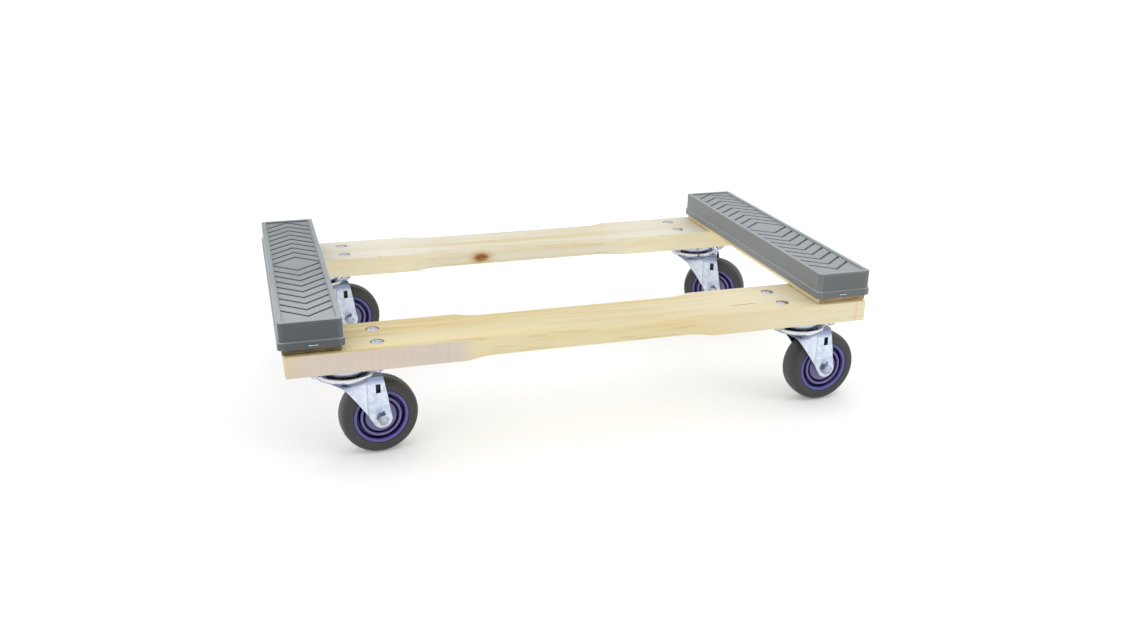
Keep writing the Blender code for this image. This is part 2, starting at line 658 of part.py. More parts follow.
def along_y(loops):
    """Turns loops made along Z so that they run along -Y."""
    return [[(x, -z, y) for x, y, z in loop] for loop in loops]


def axle_bolt_mesh():
    """Hex-headed axle bolt, its head on the -Y leg."""
    seat = FORK_OUTER_Y + GAP
    loops = [
        round_loop(HEX_HEAD_RADIUS * 0.80, seat + HEX_HEAD_HEIGHT),
        round_loop(HEX_HEAD_RADIUS, seat + HEX_HEAD_HEIGHT - HEX_CHAMFER, hexagon=True),
        round_loop(HEX_HEAD_RADIUS, seat, hexagon=True),
        round_loop(AXLE_RADIUS, seat),
        round_loop(AXLE_RADIUS, -seat - AXLE_END),
    ]
    return loft_mesh("axle_bolt", along_y(loops), smooth=True)


def axle_nut_mesh():
    """Lock nut on the axle bolt's far end, against the +Y leg."""
    near = -FORK_OUTER_Y - GAP
    far = near - AXLE_NUT_HEIGHT
    bore = AXLE_RADIUS + GAP
    bm = bmesh.new()
    loops = along_y([
        round_loop(bore, near), round_loop(HEX_HEAD_RADIUS, near, hexagon=True),
        round_loop(HEX_HEAD_RADIUS, far + AXLE_NUT_COLLAR, hexagon=True), round_loop(HEX_HEAD_RADIUS * 0.76, far),
        round_loop(bore, far),
    ])
    rows = [[bm.verts.new(point) for point in loop] for loop in loops]
    for near_row, far_row in zip(rows, rows[1:] + rows[:1]):
        for i in range(HOLE_SEGMENTS):
            j = (i + 1) % HOLE_SEGMENTS
            bm.faces.new((near_row[i], near_row[j], far_row[j], far_row[i]))
    return finish_mesh(bm, "axle_nut", smooth=True)


def build_deck(wood, rubber, zinc):
    rail = rail_mesh()
    board = board_mesh()
    cap = cap_mesh()
    staple = staple_mesh()
    rail_height = DECK_UNDERSIDE + RAIL_THICKNESS / 2
    board_height = DECK_UNDERSIDE + RAIL_THICKNESS + GAP + BOARD_THICKNESS / 2
    board_middle = (BOARD_INNER_X + BOARD_OUTER_X) / 2
    flange_y = -(BOARD_LENGTH / 2 + GAP + CAP_WALL + CAP_FLANGE_STEP) - GAP
    for name, side in (("front", -1), ("back", 1)):
        add_object("rail_" + name, rail, wood, location=(DECK_X, side * SWIVEL_Y, rail_height))
    mirrored_board = mirror_x(board, "end_board_left")
    mirrored_cap = mirror_x(cap, "rubber_cap_left")
    for name, side in (("left", -1), ("right", 1)):
        end_x = DECK_X + side * board_middle
        add_object("end_board_" + name, board if side > 0 else mirrored_board, wood,
                   location=(end_x, 0, board_height))
        add_object("rubber_cap_" + name, cap if side > 0 else mirrored_cap, rubber, location=(end_x, 0, 0))
        add_object("staple_" + name, staple, zinc, location=(DECK_X + side * STAPLE_X, flange_y, STAPLE_Z))


def mirror_x(mesh, name):
    bm = bmesh.new()
    bm.from_mesh(mesh)
    bmesh.ops.scale(bm, vec=(-1, 1, 1), verts=bm.verts)
    bmesh.ops.reverse_faces(bm, faces=bm.faces)
    result = bpy.data.meshes.new(name)
    bm.to_mesh(result)
    bm.free()
    return result


def build_bolts(place, swivel, zinc, short_bolt, long_bolt):
    """The four carriage bolts of one caster; the outer two also go through the end board."""
    rail_top = DECK_UNDERSIDE + RAIL_THICKNESS
    board_top = rail_top + GAP + BOARD_THICKNESS
    for index, (offset_x, offset_y) in enumerate(bolt_positions()):
        outer = offset_x * (swivel[0] - DECK_X) > 0
        head_seat = board_top - BOLT_HEAD_SINK - BOLT_HEAD_RISE if outer else rail_top - BOLT_HEAD_SINK
        add_object(f"carriage_bolt_{place}_{index + 1}", long_bolt if outer else short_bolt, zinc,
                   location=(swivel[0] + offset_x, swivel[1] + offset_y, head_seat))


def build_casters(materials):
    zinc, rubber, plastic, steel = materials
    plate = top_plate_mesh()
    balls = ball_ring_mesh()
    kingpin = kingpin_mesh()
    fork = fork_mesh()
    tyre = tyre_mesh()
    core = wheel_core_mesh()
    sleeve = sleeve_mesh()
    axle = axle_bolt_mesh()
    nut = axle_nut_mesh()
    short_bolt = carriage_bolt_mesh(RAIL_THICKNESS - BOLT_HEAD_SINK + PLATE_THICKNESS + GAP)
    long_bolt = carriage_bolt_mesh(RAIL_THICKNESS + GAP + BOARD_THICKNESS - BOLT_HEAD_SINK - BOLT_HEAD_RISE
                                   + PLATE_THICKNESS + GAP)
    ball_height = (CROWN_FLOOR + RACE_FLOOR) / 2
    for place, trail_angle in TRAIL_ANGLE.items():
        side_y = -1 if place.startswith("front") else 1
        side_x = -1 if place.endswith("left") else 1
        swivel = (DECK_X + side_x * SWIVEL_X, side_y * SWIVEL_Y, DECK_UNDERSIDE)
        build_bolts(place, swivel, zinc, short_bolt, long_bolt)
        add_object("top_plate_" + place, plate, zinc, location=(swivel[0], swivel[1], swivel[2] - GAP))
        add_object("kingpin_" + place, kingpin, steel, location=swivel)
        add_object("ball_ring_" + place, balls, steel, location=(swivel[0], swivel[1], swivel[2] + ball_height))
        yoke = add_object("yoke_" + place, fork, zinc, location=swivel, angle=trail_angle)
        axle_place = (CASTER_TRAIL, 0, AXLE_DROP)
        for name, mesh, material in (
            ("tyre_", tyre, rubber), ("wheel_core_", core, plastic), ("axle_sleeve_", sleeve, steel),
            ("axle_bolt_", axle, zinc), ("axle_nut_", nut, zinc),
        ):
            add_object(name + place, mesh, material, parent=yoke, location=axle_place)


def main():
    clear_scene()
    wood = make_material("hardwood", (0.80, 0.68, 0.45), 0.62)
    cap_rubber = make_material("cap_rubber", (0.20, 0.21, 0.20), 0.72)
    tyre_rubber = make_material("tyre_rubber", (0.10, 0.10, 0.09), 0.55)
    plastic = make_material("hub_plastic", (0.16, 0.13, 0.36), 0.45)
    zinc = make_material("zinc_steel", (0.72, 0.74, 0.78), 0.32, 1.0)
    steel = make_material("bright_steel", (0.60, 0.60, 0.60), 0.25, 1.0)
    build_deck(wood, cap_rubber, zinc)
    build_casters((zinc, tyre_rubber, plastic, steel))


main()
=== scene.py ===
"""Looks of the furniture dolly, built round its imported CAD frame.

Frame: metres, +Z up, floor at z = 0, X along the rails, Y from the front rail to the back one.
"""

import math

import bmesh
import bpy
from mathutils import Matrix, Vector


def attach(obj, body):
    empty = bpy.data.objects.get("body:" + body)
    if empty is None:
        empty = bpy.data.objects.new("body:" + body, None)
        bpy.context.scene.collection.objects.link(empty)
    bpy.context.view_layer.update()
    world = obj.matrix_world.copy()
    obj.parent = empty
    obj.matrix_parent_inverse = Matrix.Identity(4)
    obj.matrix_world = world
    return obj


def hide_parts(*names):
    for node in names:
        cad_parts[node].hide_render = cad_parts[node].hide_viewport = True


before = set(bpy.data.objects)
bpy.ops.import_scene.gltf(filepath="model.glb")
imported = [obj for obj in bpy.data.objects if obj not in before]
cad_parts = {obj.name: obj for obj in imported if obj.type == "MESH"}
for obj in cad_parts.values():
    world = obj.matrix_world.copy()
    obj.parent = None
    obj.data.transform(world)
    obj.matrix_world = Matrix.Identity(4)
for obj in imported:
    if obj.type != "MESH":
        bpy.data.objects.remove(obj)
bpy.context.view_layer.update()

PLACES = ("front_left", "front_right", "back_left", "back_right")

# ---------------- sizes, as the CAD has them
DECK_X = -0.0045
DECK_UNDERSIDE = 0.1292
RAIL_LENGTH = 0.762
RAIL_WIDTH = 0.0932
RAIL_THICKNESS = 0.0272
RAIL_EASE = 0.0007                # hand-sanded edge
NOTCH_HALF_LENGTH = 0.1255
NOTCH_DEPTH = 0.0033
NOTCH_NOSE_RADIUS = 0.0095
NOTCH_CUTTER_RADIUS = 0.065
BOARD_INNER_X = 0.3135
BOARD_OUTER_X = 0.3828
BOARD_MIDDLE_X = (BOARD_INNER_X + BOARD_OUTER_X) / 2
BOARD_LENGTH = 0.4440
BOARD_THICKNESS = 0.0280
GAP = 0.0003
CAP_WALL = 0.0026
CAP_TOP = 0.1979
CAP_RIM_WIDTH = 0.0062
CAP_RIM_HEIGHT = 0.0018
CAP_FLANGE_TOP = 0.1738
CAP_FLANGE_BOTTOM = 0.1641
CAP_FLANGE_STEP = 0.0019
CAP_CORNER_RADIUS = 0.0045
CHEVRON_COUNT = 9
CHEVRON_MIDDLE_Y = 0.0070
CHEVRON_FIRST = 0.0298
CHEVRON_PITCH = 0.0224
CHEVRON_SLOPE = 0.86
CHEVRON_SIDE_LAND = 0.0010
SWIVEL_X = 0.3079
SWIVEL_Y = 0.1820
BOLT_SPACING = (0.0762, 0.04445)
TRAIL = 0.0386
AXLE_DROP = -0.0792
TRAIL_ANGLE = {"front_left": 7.6, "front_right": 3.7, "back_left": 5.1, "back_right": -29.0}
THREAD_PITCH = 0.00125
SEAT_RADIUS = 0.0087              # counterbore under a carriage bolt's head
SEAT_DEPTH = 0.0018
RAIL_HEAD_SINK = 0.0012           # how far a head sits below the rail's top, and below the board's
BOARD_HEAD_SINK = 0.0024
BOLT_TURN = 17.0                  # degrees between the hexagons of neighbouring nuts
PLATE_HALF_X = 0.046
PLATE_HALF_Y = 0.030
PLATE_THICKNESS = 0.0030
PLATE_CORNER_RADIUS = 0.008
BALL_COUNT = 10
BALL_RADIUS = 0.0031
BALL_CIRCLE_RADIUS = 0.0205
BALL_MIDDLE_Z = -0.0135
FORK_OUTER_Y = 0.0214
FORK_THICKNESS = 0.0028
FORK_FOOT_RADIUS = 0.0124
FORK_SHOULDER_RADIUS = 0.0055
CROWN_RADIUS = 0.0365
CROWN_FLOOR = -0.0170
CROWN_UNDERSIDE = -0.0205
CROWN_RIM_BOTTOM = -0.0196
FLARE_HALF_LENGTH = 0.0258
FLARE_RADIUS = 0.0336             # where the flare leaves the crown's underside
AXLE_HOLE_RADIUS = 0.0044
PILOT_HOLE = (0.0400, -0.0706, 0.0012)                # x, z, radius
SLOT = (0.0315, 0.0377, -0.0435, -0.0317)             # x from, to, z from, to
YOKE_BEVEL = 0.00035
STAPLE_BEVEL = 0.00025
HEX_HALF_WIDTH = 0.0074           # across the corners of the axle's bolt head and nut
TYRE_RADIUS = 0.0500
TYRE_HALF_WIDTH = 0.0159
TYRE_SEAT_RADIUS = 0.0352
WHEEL_SEGMENTS = 128


# ---------------- mesh helpers
def finish_mesh(bm, name, sharp=40.0):
    bmesh.ops.remove_doubles(bm, verts=bm.verts, dist=2e-6)
    bmesh.ops.dissolve_degenerate(bm, edges=bm.edges, dist=1e-6)
    bmesh.ops.recalc_face_normals(bm, faces=bm.faces)
    mesh = bpy.data.meshes.new(name)
    bm.to_mesh(mesh)
    bm.free()
    shade(mesh, sharp)
    return mesh


def shade(mesh, sharp):
    mesh.shade_smooth()
    mesh.set_sharp_from_angle(angle=math.radians(sharp))


def skin(bm, loops):
    """Joins equal point loops with quads, and caps both ends."""
    rows = [[bm.verts.new(point) for point in loop] for loop in loops]
    count = len(rows[0])
    for near, far in zip(rows, rows[1:]):
        for i in range(count):
            j = (i + 1) % count
            bm.faces.new((near[i], near[j], far[j], far[i]))
    bm.faces.new(rows[0])
    bm.faces.new(rows[-1])


def loft(name, loops, sharp=40.0):
    bm = bmesh.new()
    skin(bm, loops)
    return finish_mesh(bm, name, sharp)


def turned(name, profile, segments, axis="Z", sharp=40.0, closed=True):
    """Spins a profile of (radius, height) points about an axis through the origin."""
    bm = bmesh.new()
    along_z = axis == "Z"
    points = [Vector((r, 0, h)) if along_z else Vector((r, h, 0)) for r, h in profile]
    verts = [bm.verts.new(point) for point in points]
    pairs = list(zip(verts, verts[1:]))
    if closed:
        pairs.append((verts[-1], verts[0]))
    edges = [bm.edges.new(pair) for pair in pairs]
    bmesh.ops.spin(bm, geom=verts + edges, cent=(0, 0, 0), axis=(0, 0, 1) if along_z else (0, 1, 0),
                   angle=math.tau, steps=segments, use_merge=True)
    return finish_mesh(bm, name, sharp)


def rounded(points, radius, steps=3):
    """A closed profile with each of its corners rounded; radius is one number, or one for each corner."""
    count = len(points)
    radii = radius if isinstance(radius, (list, tuple)) else [radius] * count
    result = []
    for i, point in enumerate(points):
        corner = Vector(point)
        back = Vector(points[i - 1]) - corner
        ahead = Vector(points[(i + 1) % count]) - corner
        reach = min(radii[i], back.length * 0.45, ahead.length * 0.45)
        if reach < 1e-5:
            result.append(tuple(corner))
            continue
        start = corner + back.normalized() * reach
        stop = corner + ahead.normalized() * reach
        for step in range(steps + 1):
            t = step / steps
            result.append(tuple(start * (1 - t) ** 2 + corner * 2 * t * (1 - t) + stop * t ** 2))
    return result


def both_sides(half):
    """Closes a half profile, listed from the bore to the rim, with its mirror image in height."""
    return [*half, *((radius, -height) for radius, height in reversed(half))]


def boolean(mesh, other, operation, sharp=40.0):
    body = bpy.data.objects.new("body", mesh)
    tool = bpy.data.objects.new("tool", other)
    for obj in (body, tool):
        bpy.context.scene.collection.objects.link(obj)
    modifier = body.modifiers.new("Boolean", "BOOLEAN")
    modifier.operation = operation
    modifier.solver = "EXACT"
    modifier.object = tool
    depsgraph = bpy.context.evaluated_depsgraph_get()
    result = bpy.data.meshes.new_from_object(body.evaluated_get(depsgraph))
    result.name = mesh.name
    bpy.data.objects.remove(body)
    bpy.data.objects.remove(tool)
    shade(result, sharp)
    return result


def rounded_rectangle(x_low, x_high, y_low, y_high, radius, height, steps=6):
    corners = (
        (x_high - radius, y_high - radius, 0),
        (x_low + radius, y_high - radius, 90),
        (x_low + radius, y_low + radius, 180),
        (x_high - radius, y_low + radius, 270),
    )
    points = []
    for center_x, center_y, start in corners:
        for step in range(steps + 1):
            turn = math.radians(start + 90 * step / steps)
            points.append((center_x + radius * math.cos(turn), center_y + radius * math.sin(turn), height))
    return points


def cylinder(bm, center, radius, depth, segments, axis="Z"):
    turn = Matrix.Rotation(math.radians(90), 4, "X") if axis == "Y" else Matrix.Identity(4)
    bmesh.ops.create_cone(bm, cap_ends=True, segments=segments, radius1=radius, radius2=radius,
                          depth=depth, matrix=Matrix.Translation(center) @ turn)


def piece(name, mesh, material, body, replaces, slot, location=(0, 0, 0), angle=0.0, weighted=False, bevel=None):
    """Places one piece, makes it ride its body and stand in for its CAD node; casters share their meshes."""
    obj = bpy.data.objects.new(name, mesh)
    bpy.context.scene.collection.objects.link(obj)
    obj.location = location
    obj.rotation_euler = (0, 0, math.radians(angle))
    if not mesh.materials:
        mesh.materials.append(material)
    if bevel:
        add_bevel(obj, bevel)
    if weighted or bevel:
        obj.modifiers.new("Weighted normals", "WEIGHTED_NORMAL").keep_sharp = True
    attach(obj, body)
    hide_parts(replaces)


def add_bevel(obj, width):
    bevel = obj.modifiers.new("Bevel", "BEVEL")
    bevel.width = width
    bevel.segments = 2
    bevel.limit_method = "ANGLE"
    bevel.angle_limit = math.radians(35)


# ---------------- material helpers
def srgb(red, green, blue):
    """An 8-bit screen colour as a linear one."""
    def linear(value):
        value /= 255
        return value / 12.92 if value <= 0.04045 else ((value + 0.055) / 1.055) ** 2.4
    return (linear(red), linear(green), linear(blue), 1.0)


class Graph:
    """A material's node tree, with short calls for the nodes used here."""

    def __init__(self, name, color, roughness, metallic=0.0, **sockets):
        self.material = bpy.data.materials.new(name)
        self.material.use_nodes = True
        self.tree = self.material.node_tree
        self.shader = self.tree.nodes["Principled BSDF"]
        self.material.diffuse_color = color
        self.set("Base Color", color)
        self.set("Roughness", roughness)
        self.set("Metallic", metallic)
        for key, value in sockets.items():
            self.set(key.replace("_", " "), value)
        self.coords = self.tree.nodes.new("ShaderNodeTexCoord")

    def set(self, socket, value):
        self.put(self.shader.inputs[socket], value)

    def put(self, socket, value):
        if isinstance(value, bpy.types.NodeSocket):
            self.tree.links.new(value, socket)
        else:
            socket.default_value = value

    def node(self, kind, inputs=None, **settings):
        made = self.tree.nodes.new("ShaderNode" + kind)
        for key, value in settings.items():
            setattr(made, key, value)
        for key, value in (inputs or {}).items():
            self.put(made.inputs[key], value)
        return made

    def place(self, scale=(1, 1, 1), offset=(0, 0, 0), rotation=(0, 0, 0), vector=None):
        source = vector or self.coords.outputs["Object"]
        return self.node("Mapping", {"Vector": source, "Scale": scale, "Location": offset,
                                     "Rotation": rotation}).outputs["Vector"]

    def noise(self, vector, scale, detail=3.0, roughness=0.55, distortion=0.0):
        return self.node("TexNoise", {"Vector": vector, "Scale": scale, "Detail": detail, "Roughness": roughness,
                                      "Distortion": distortion}).outputs["Fac"]

    def math(self, operation, a, b=0.0):
        return self.node("Math", {0: a, 1: b}, operation=operation).outputs[0]

    def add(self, a, b):
        return self.math("ADD", a, b)

    def size(self, value):
        return self.math("ABSOLUTE", value)

    def times(self, product, *factors):
        for factor in factors:
            product = self.math("MULTIPLY", product, factor)
        return product

    def apart(self, value, middle):
        """How far a value is from middle, on either side."""
        return self.size(self.math("SUBTRACT", value, middle))

    def ramp(self, value, low, high, out_low=0.0, out_high=1.0):
        """Smooth step from out_low at low to out_high at high; low may be the larger of the two."""
        return self.node("MapRange", {"Value": value, "From Min": low, "From Max": high, "To Min": out_low,
                                      "To Max": out_high}, interpolation_type="SMOOTHSTEP").outputs["Result"]

    def mix(self, factor, a, b, blend="MIX"):
        made = self.node("Mix", data_type="RGBA", blend_type=blend)
        self.put(made.inputs["Factor"], factor)
        self.put(made.inputs["A"], a)
        self.put(made.inputs["B"], b)
        return made.outputs["Result"]

    def tint(self, color, target, *strengths):
        """Colour moved toward target by the product of the strengths."""
        return self.mix(self.times(*strengths), color, target)

    def axes(self, vector=None):
        return self.node("SeparateXYZ", {"Vector": vector or self.coords.outputs["Object"]}).outputs

    def normal(self):
        return self.axes(self.coords.outputs["Normal"])

    def vector(self, x, y, z):
        return self.node("CombineXYZ", {"X": x, "Y": y, "Z": z}).outputs["Vector"]

    def distance(self, center, reach):
        """Distance from center in units of reach, which has one length for each axis; None leaves an axis out."""
        scale = [1 / length if length else 0.0 for length in reach]
        offset = [-middle * factor for middle, factor in zip(center, scale)]
        return self.node("VectorMath", {0: self.place(scale, offset)}, operation="LENGTH").outputs["Value"]

    def bump(self, height, distance, strength, normal=None):
        made = self.node("Bump", {"Height": height, "Distance": distance, "Strength": strength})
        if normal is not None:
            self.put(made.inputs["Normal"], normal)
        return made.outputs["Normal"]


# ---------------- materials
CREAM = srgb(226, 212, 170)
STRAW = srgb(220, 198, 142)
GRAIN = srgb(186, 146, 92)
PORE = srgb(170, 130, 84)
KNOT = srgb(134, 86, 16)
KNOT_HALO = srgb(200, 150, 58)
END_GRAIN = srgb(218, 190, 146)
END_RING = srgb(188, 152, 108)
DUST = srgb(176, 176, 168)
SCUFF = srgb(190, 190, 184)
ZINC_BLUE = srgb(196, 203, 224)
ZINC_STRAW = srgb(224, 216, 196)
ZINC_DULL = srgb(132, 138, 152)
KNOT_LENGTH = 1.7                 # along the grain, for a width of 1


def wood(name, along="X", seed=0.0, pale=CREAM, streak=STRAW, knots=(), details=None, end_color=END_GRAIN,
         end_ring=END_RING):
    """Planed pale hardwood: streaks, growth lines and pores along the board, end grain across it."""
    g = Graph(name, pale, 0.55, Specular_IOR_Level=0.42)
    along_x = along == "X"
    turn = (0, 0, 0 if along_x else math.radians(90))
    position = g.place(rotation=turn, offset=(seed, seed * 0.37, seed * 0.11))
    long, across, up = g.axes(position)
    wander = g.noise(g.place((1.6, 4.0, 4.0), vector=position), 2.0, 2.0)
    warped = g.vector(g.times(long, 0.05), g.add(across, g.times(wander, 0.035)),
                      g.add(up, g.times(wander, 0.02)))
    bands = g.noise(warped, 42.0, 2.0, 0.5)
    rings = g.noise(warped, 190.0, 2.0, 0.6)
    pores = g.noise(g.place((26.0, 1500.0, 1500.0), vector=position), 1.0, 3.0, 0.6)
    flecks = g.noise(g.place((9.0, 260.0, 260.0), vector=position), 1.0, 2.0, 0.5)
    color = g.tint(pale, streak, g.ramp(bands, 0.40, 0.68))
    color = g.tint(color, GRAIN, g.ramp(rings, 0.52, 0.72), 0.30)
    color = g.tint(color, GRAIN, g.ramp(flecks, 0.66, 0.78), 0.38)
    color = g.tint(color, PORE, g.ramp(pores, 0.58, 0.80), 0.22)
    # Faces that point up are multiplied toward a pale grey: painted shade that tones the tops down.
    upward = g.ramp(g.normal()["Z"], 0.7, 0.95)
    color = g.mix(upward, color, g.mix(1.0, color, srgb(243, 243, 243), "MULTIPLY"))
    relief = g.add(g.times(pores, 0.6), g.times(rings, 0.4))
    for center, radius, strength in knots:
        away = g.distance(center, (radius * KNOT_LENGTH, radius, radius))
        spot = g.add(away, g.times(g.math("SUBTRACT", rings, 0.5), 0.7))
        color = g.tint(color, KNOT_HALO, g.ramp(spot, 1.9, 0.7), 0.55 * strength)
        color = g.tint(color, KNOT, g.ramp(spot, 1.10, 0.50), strength)
    if details:
        color, relief = details(g, color, relief)
    end = g.ramp(g.size(g.normal()["X" if along_x else "Y"]), 0.75, 0.95)
    end_rings = g.noise(g.place((220.0, 60.0, 320.0) if along_x else (60.0, 220.0, 320.0)), 1.0, 3.0, 0.6, 0.6)
    color = g.tint(color, g.tint(end_color, end_ring, g.ramp(end_rings, 0.35, 0.65)), end)
    g.set("Base Color", color)
    g.set("Roughness", g.ramp(bands, 0.3, 0.7, 0.50, 0.64))
    g.set("Normal", g.bump(relief, 0.00022, 0.55))
    return g.material


def front_rail_details(g, color, relief):
    """Saw marks and a rosy tone on the front face's left part, an orange end stripe, straw and a check on top."""
    normal = g.normal()
    x, y, z = g.axes()
    front = g.ramp(normal["Y"], -0.75, -0.95)
    top = g.ramp(normal["Z"], 0.75, 0.95)
    rosy = g.times(front, g.ramp(x, -0.150, -0.185))
    marks = g.noise(g.place((620.0, 40.0, 14.0)), 1.0, 3.0, 0.6)
    color = g.tint(color, srgb(208, 195, 189), rosy, 0.80)
    color = g.tint(color, srgb(190, 166, 146), rosy, g.ramp(marks, 0.50, 0.70), 0.45)
    color = g.tint(color, srgb(214, 196, 148), front, g.ramp(x, -0.3640, -0.3800), 0.55)
    stripe = g.times(g.ramp(x, 0.3600, 0.3612), g.ramp(x, 0.3655, 0.3643))
    color = g.tint(color, srgb(222, 170, 118), stripe, front, 0.65)
    color = g.tint(color, srgb(232, 224, 200), g.ramp(x, 0.05, 0.25), 0.45)
    band = g.times(g.ramp(y, -0.2286, -0.2180), g.ramp(y, -0.1900, -0.2080))
    color = g.tint(color, srgb(229, 210, 154), top, band, g.ramp(x, 0.02, -0.10), 0.45)
    wobble = g.noise(g.place((60.0, 20.0, 20.0)), 1.0, 2.0)
    from_check = g.add(g.add(y, 0.1983), g.times(g.math("SUBTRACT", wobble, 0.5), 0.006))
    check = g.times(g.ramp(g.size(from_check), 0.0016, 0.0003),
                    g.times(g.ramp(x, 0.185, 0.205), g.ramp(x, 0.236, 0.222)))
    color = g.tint(color, srgb(150, 112, 70), check, top, 0.8)
    return color, g.add(relief, g.times(marks, rosy, 0.5))


def back_rail_details(g, color, relief):
    """The back rail is paler on top toward both ends, and yellower on its inner face there."""
    normal = g.normal()
    inner_face = g.ramp(normal["Y"], -0.75, -0.95)
    top = g.ramp(normal["Z"], 0.75, 0.95)
    ends = g.ramp(g.size(g.axes()["X"]), 0.10, 0.20)
    color = g.tint(color, srgb(230, 228, 220), top, ends, 0.45)
    return g.tint(color, srgb(250, 238, 196), inner_face, ends, 0.55), relief


def rubber(name, low, high, roughness, grain, speckle, details=None, **sockets):
    """Moulded rubber: fine pebbled skin, cloudy tone, faint pale dust and scuffs."""
    g = Graph(name, low, roughness, **sockets)
    position = g.coords.outputs["Object"]
    cloud = g.noise(position, 14.0, 4.0, 0.6)
    pebble = g.noise(position, grain, 2.0, 0.5)
    dust = g.noise(position, 95.0, 5.0, 0.7)
    scuff = g.noise(g.place((60.0, 700.0, 60.0), rotation=(0.1, 0.0, 0.6)), 1.0, 3.0, 0.7)
    color = g.tint(low, high, g.ramp(cloud, 0.3, 0.7))
    color = g.tint(color, DUST, g.ramp(dust, 0.60, 0.80), speckle * 0.35)
    color = g.tint(color, SCUFF, g.ramp(scuff, 0.66, 0.78), speckle * 0.22)
    if details:
        color = details(g, color, cloud, dust)
    g.set("Base Color", color)
    g.set("Roughness", g.ramp(g.add(g.times(cloud, 0.6), g.times(dust, 0.4)), 0.35, 0.65,
                              roughness - 0.07, roughness + 0.09))
    g.set("Normal", g.bump(cloud, 0.0006, 0.25, g.bump(pebble, 0.00006, 0.5)))
    return g.material


def cap_details(g, color, cloud, dust):
    """Painted light and shade on the caps: the right cap painted lighter and the left darker, dust and a painted sheen
    on what faces up, a painted glare on the tops' near half and painted shade on their far half, a painted highlight on
    the flange's ledge and on the rim's top, and painted shade in the grooves.
    """
    x, y, z = g.axes()
    upward = g.ramp(g.normal()["Z"], 0.55, 0.95)
    # Painted light and shade: the right cap's rubber is painted lighter and the left cap's darker.
    color = g.tint(color, srgb(140, 143, 142), g.ramp(x, -0.30, 0.30, 0.0, 0.30))
    color = g.tint(color, srgb(36, 48, 56), g.ramp(x, -0.25, -0.33, 0.0, 0.14))
    # Up-facing faces are lightened: pale dust, and a painted sheen that brightens the tops.
    color = g.tint(color, srgb(142, 149, 155), upward, g.ramp(cloud, 0.3, 0.7, 0.36, 0.50))
    # A painted glare lightens the near half of the caps' tops and painted shade darkens their far half, both more on
    # the left cap.
    near = g.times(g.ramp(y, -0.02, -0.20), g.ramp(x, 0.10, -0.20, 0.06, 0.46))
    far = g.times(g.ramp(y, 0.00, 0.20), g.ramp(x, 0.10, -0.20, 0.24, 0.46))
    color = g.tint(color, srgb(170, 176, 180), upward, near)
    color = g.tint(color, srgb(66, 72, 76), upward, far)
    # A painted highlight along the flange's top edge, broken up by the dust noise.
    ledge = g.times(g.ramp(z, CAP_FLANGE_TOP - 0.0012, CAP_FLANGE_TOP - 0.0004),
                    g.ramp(z, CAP_FLANGE_TOP + 0.0010, CAP_FLANGE_TOP + 0.0002))
    color = g.tint(color, srgb(158, 164, 166), ledge, g.ramp(dust, 0.30, 0.60, 0.25, 0.55))
    # Painted shade darkens the grooves below the cap's field.
    from_cap_middle = g.apart(g.apart(x, DECK_X), BOARD_MIDDLE_X)
    field = CAP_TOP - CAP_RIM_HEIGHT
    groove_shade = g.times(g.ramp(from_cap_middle, 0.0320, 0.0315), g.ramp(z, field - 0.0002, field - 0.0014))
    color = g.tint(color, srgb(40, 44, 46), groove_shade, 0.32)
    # A painted highlight on the rim's top, broken up by the dust noise.
    rim_highlight = g.times(g.ramp(z, CAP_TOP - 0.0009, CAP_TOP - 0.0002), g.ramp(dust, 0.25, 0.55, 0.5, 1.0))
    return g.tint(color, srgb(140, 146, 148), rim_highlight, 0.35)


def zinc(name, tint, roughness, blotch=0.10, details=None):
    """Bright zinc plate: cool tone with faint blue and straw clouds, fine rolling marks and pin scratches."""
    g = Graph(name, tint, roughness, 1.0)
    position = g.coords.outputs["Object"]
    cloud = g.noise(position, 38.0, 4.0, 0.6)
    passivate = g.noise(position, 85.0, 3.0, 0.6, 0.8)
    rolled = g.noise(g.place((30.0, 30.0, 1400.0)), 1.0, 2.0, 0.5)
    scratch = g.noise(g.place((80.0, 80.0, 900.0), rotation=(0.4, 0.9, 0.2)), 1.0, 4.0, 0.7)
    color = g.tint(tint, ZINC_BLUE, g.ramp(passivate, 0.40, 0.62))
    color = g.tint(color, ZINC_STRAW, g.ramp(passivate, 0.58, 0.74), 0.50)
    color = g.tint(color, ZINC_DULL, g.ramp(cloud, 0.52, 0.74), blotch * 4)
    if details:
        color = details(g, color, cloud)
    g.set("Base Color", color)
    wear = g.add(g.times(cloud, 0.7), g.times(scratch, 0.3))
    g.set("Roughness", g.ramp(wear, 0.35, 0.68, roughness - 0.07, roughness + 0.13))
    g.set("Normal", g.bump(cloud, 0.0005, 0.22, g.bump(g.add(rolled, scratch), 0.00002, 0.35)))
    return g.material


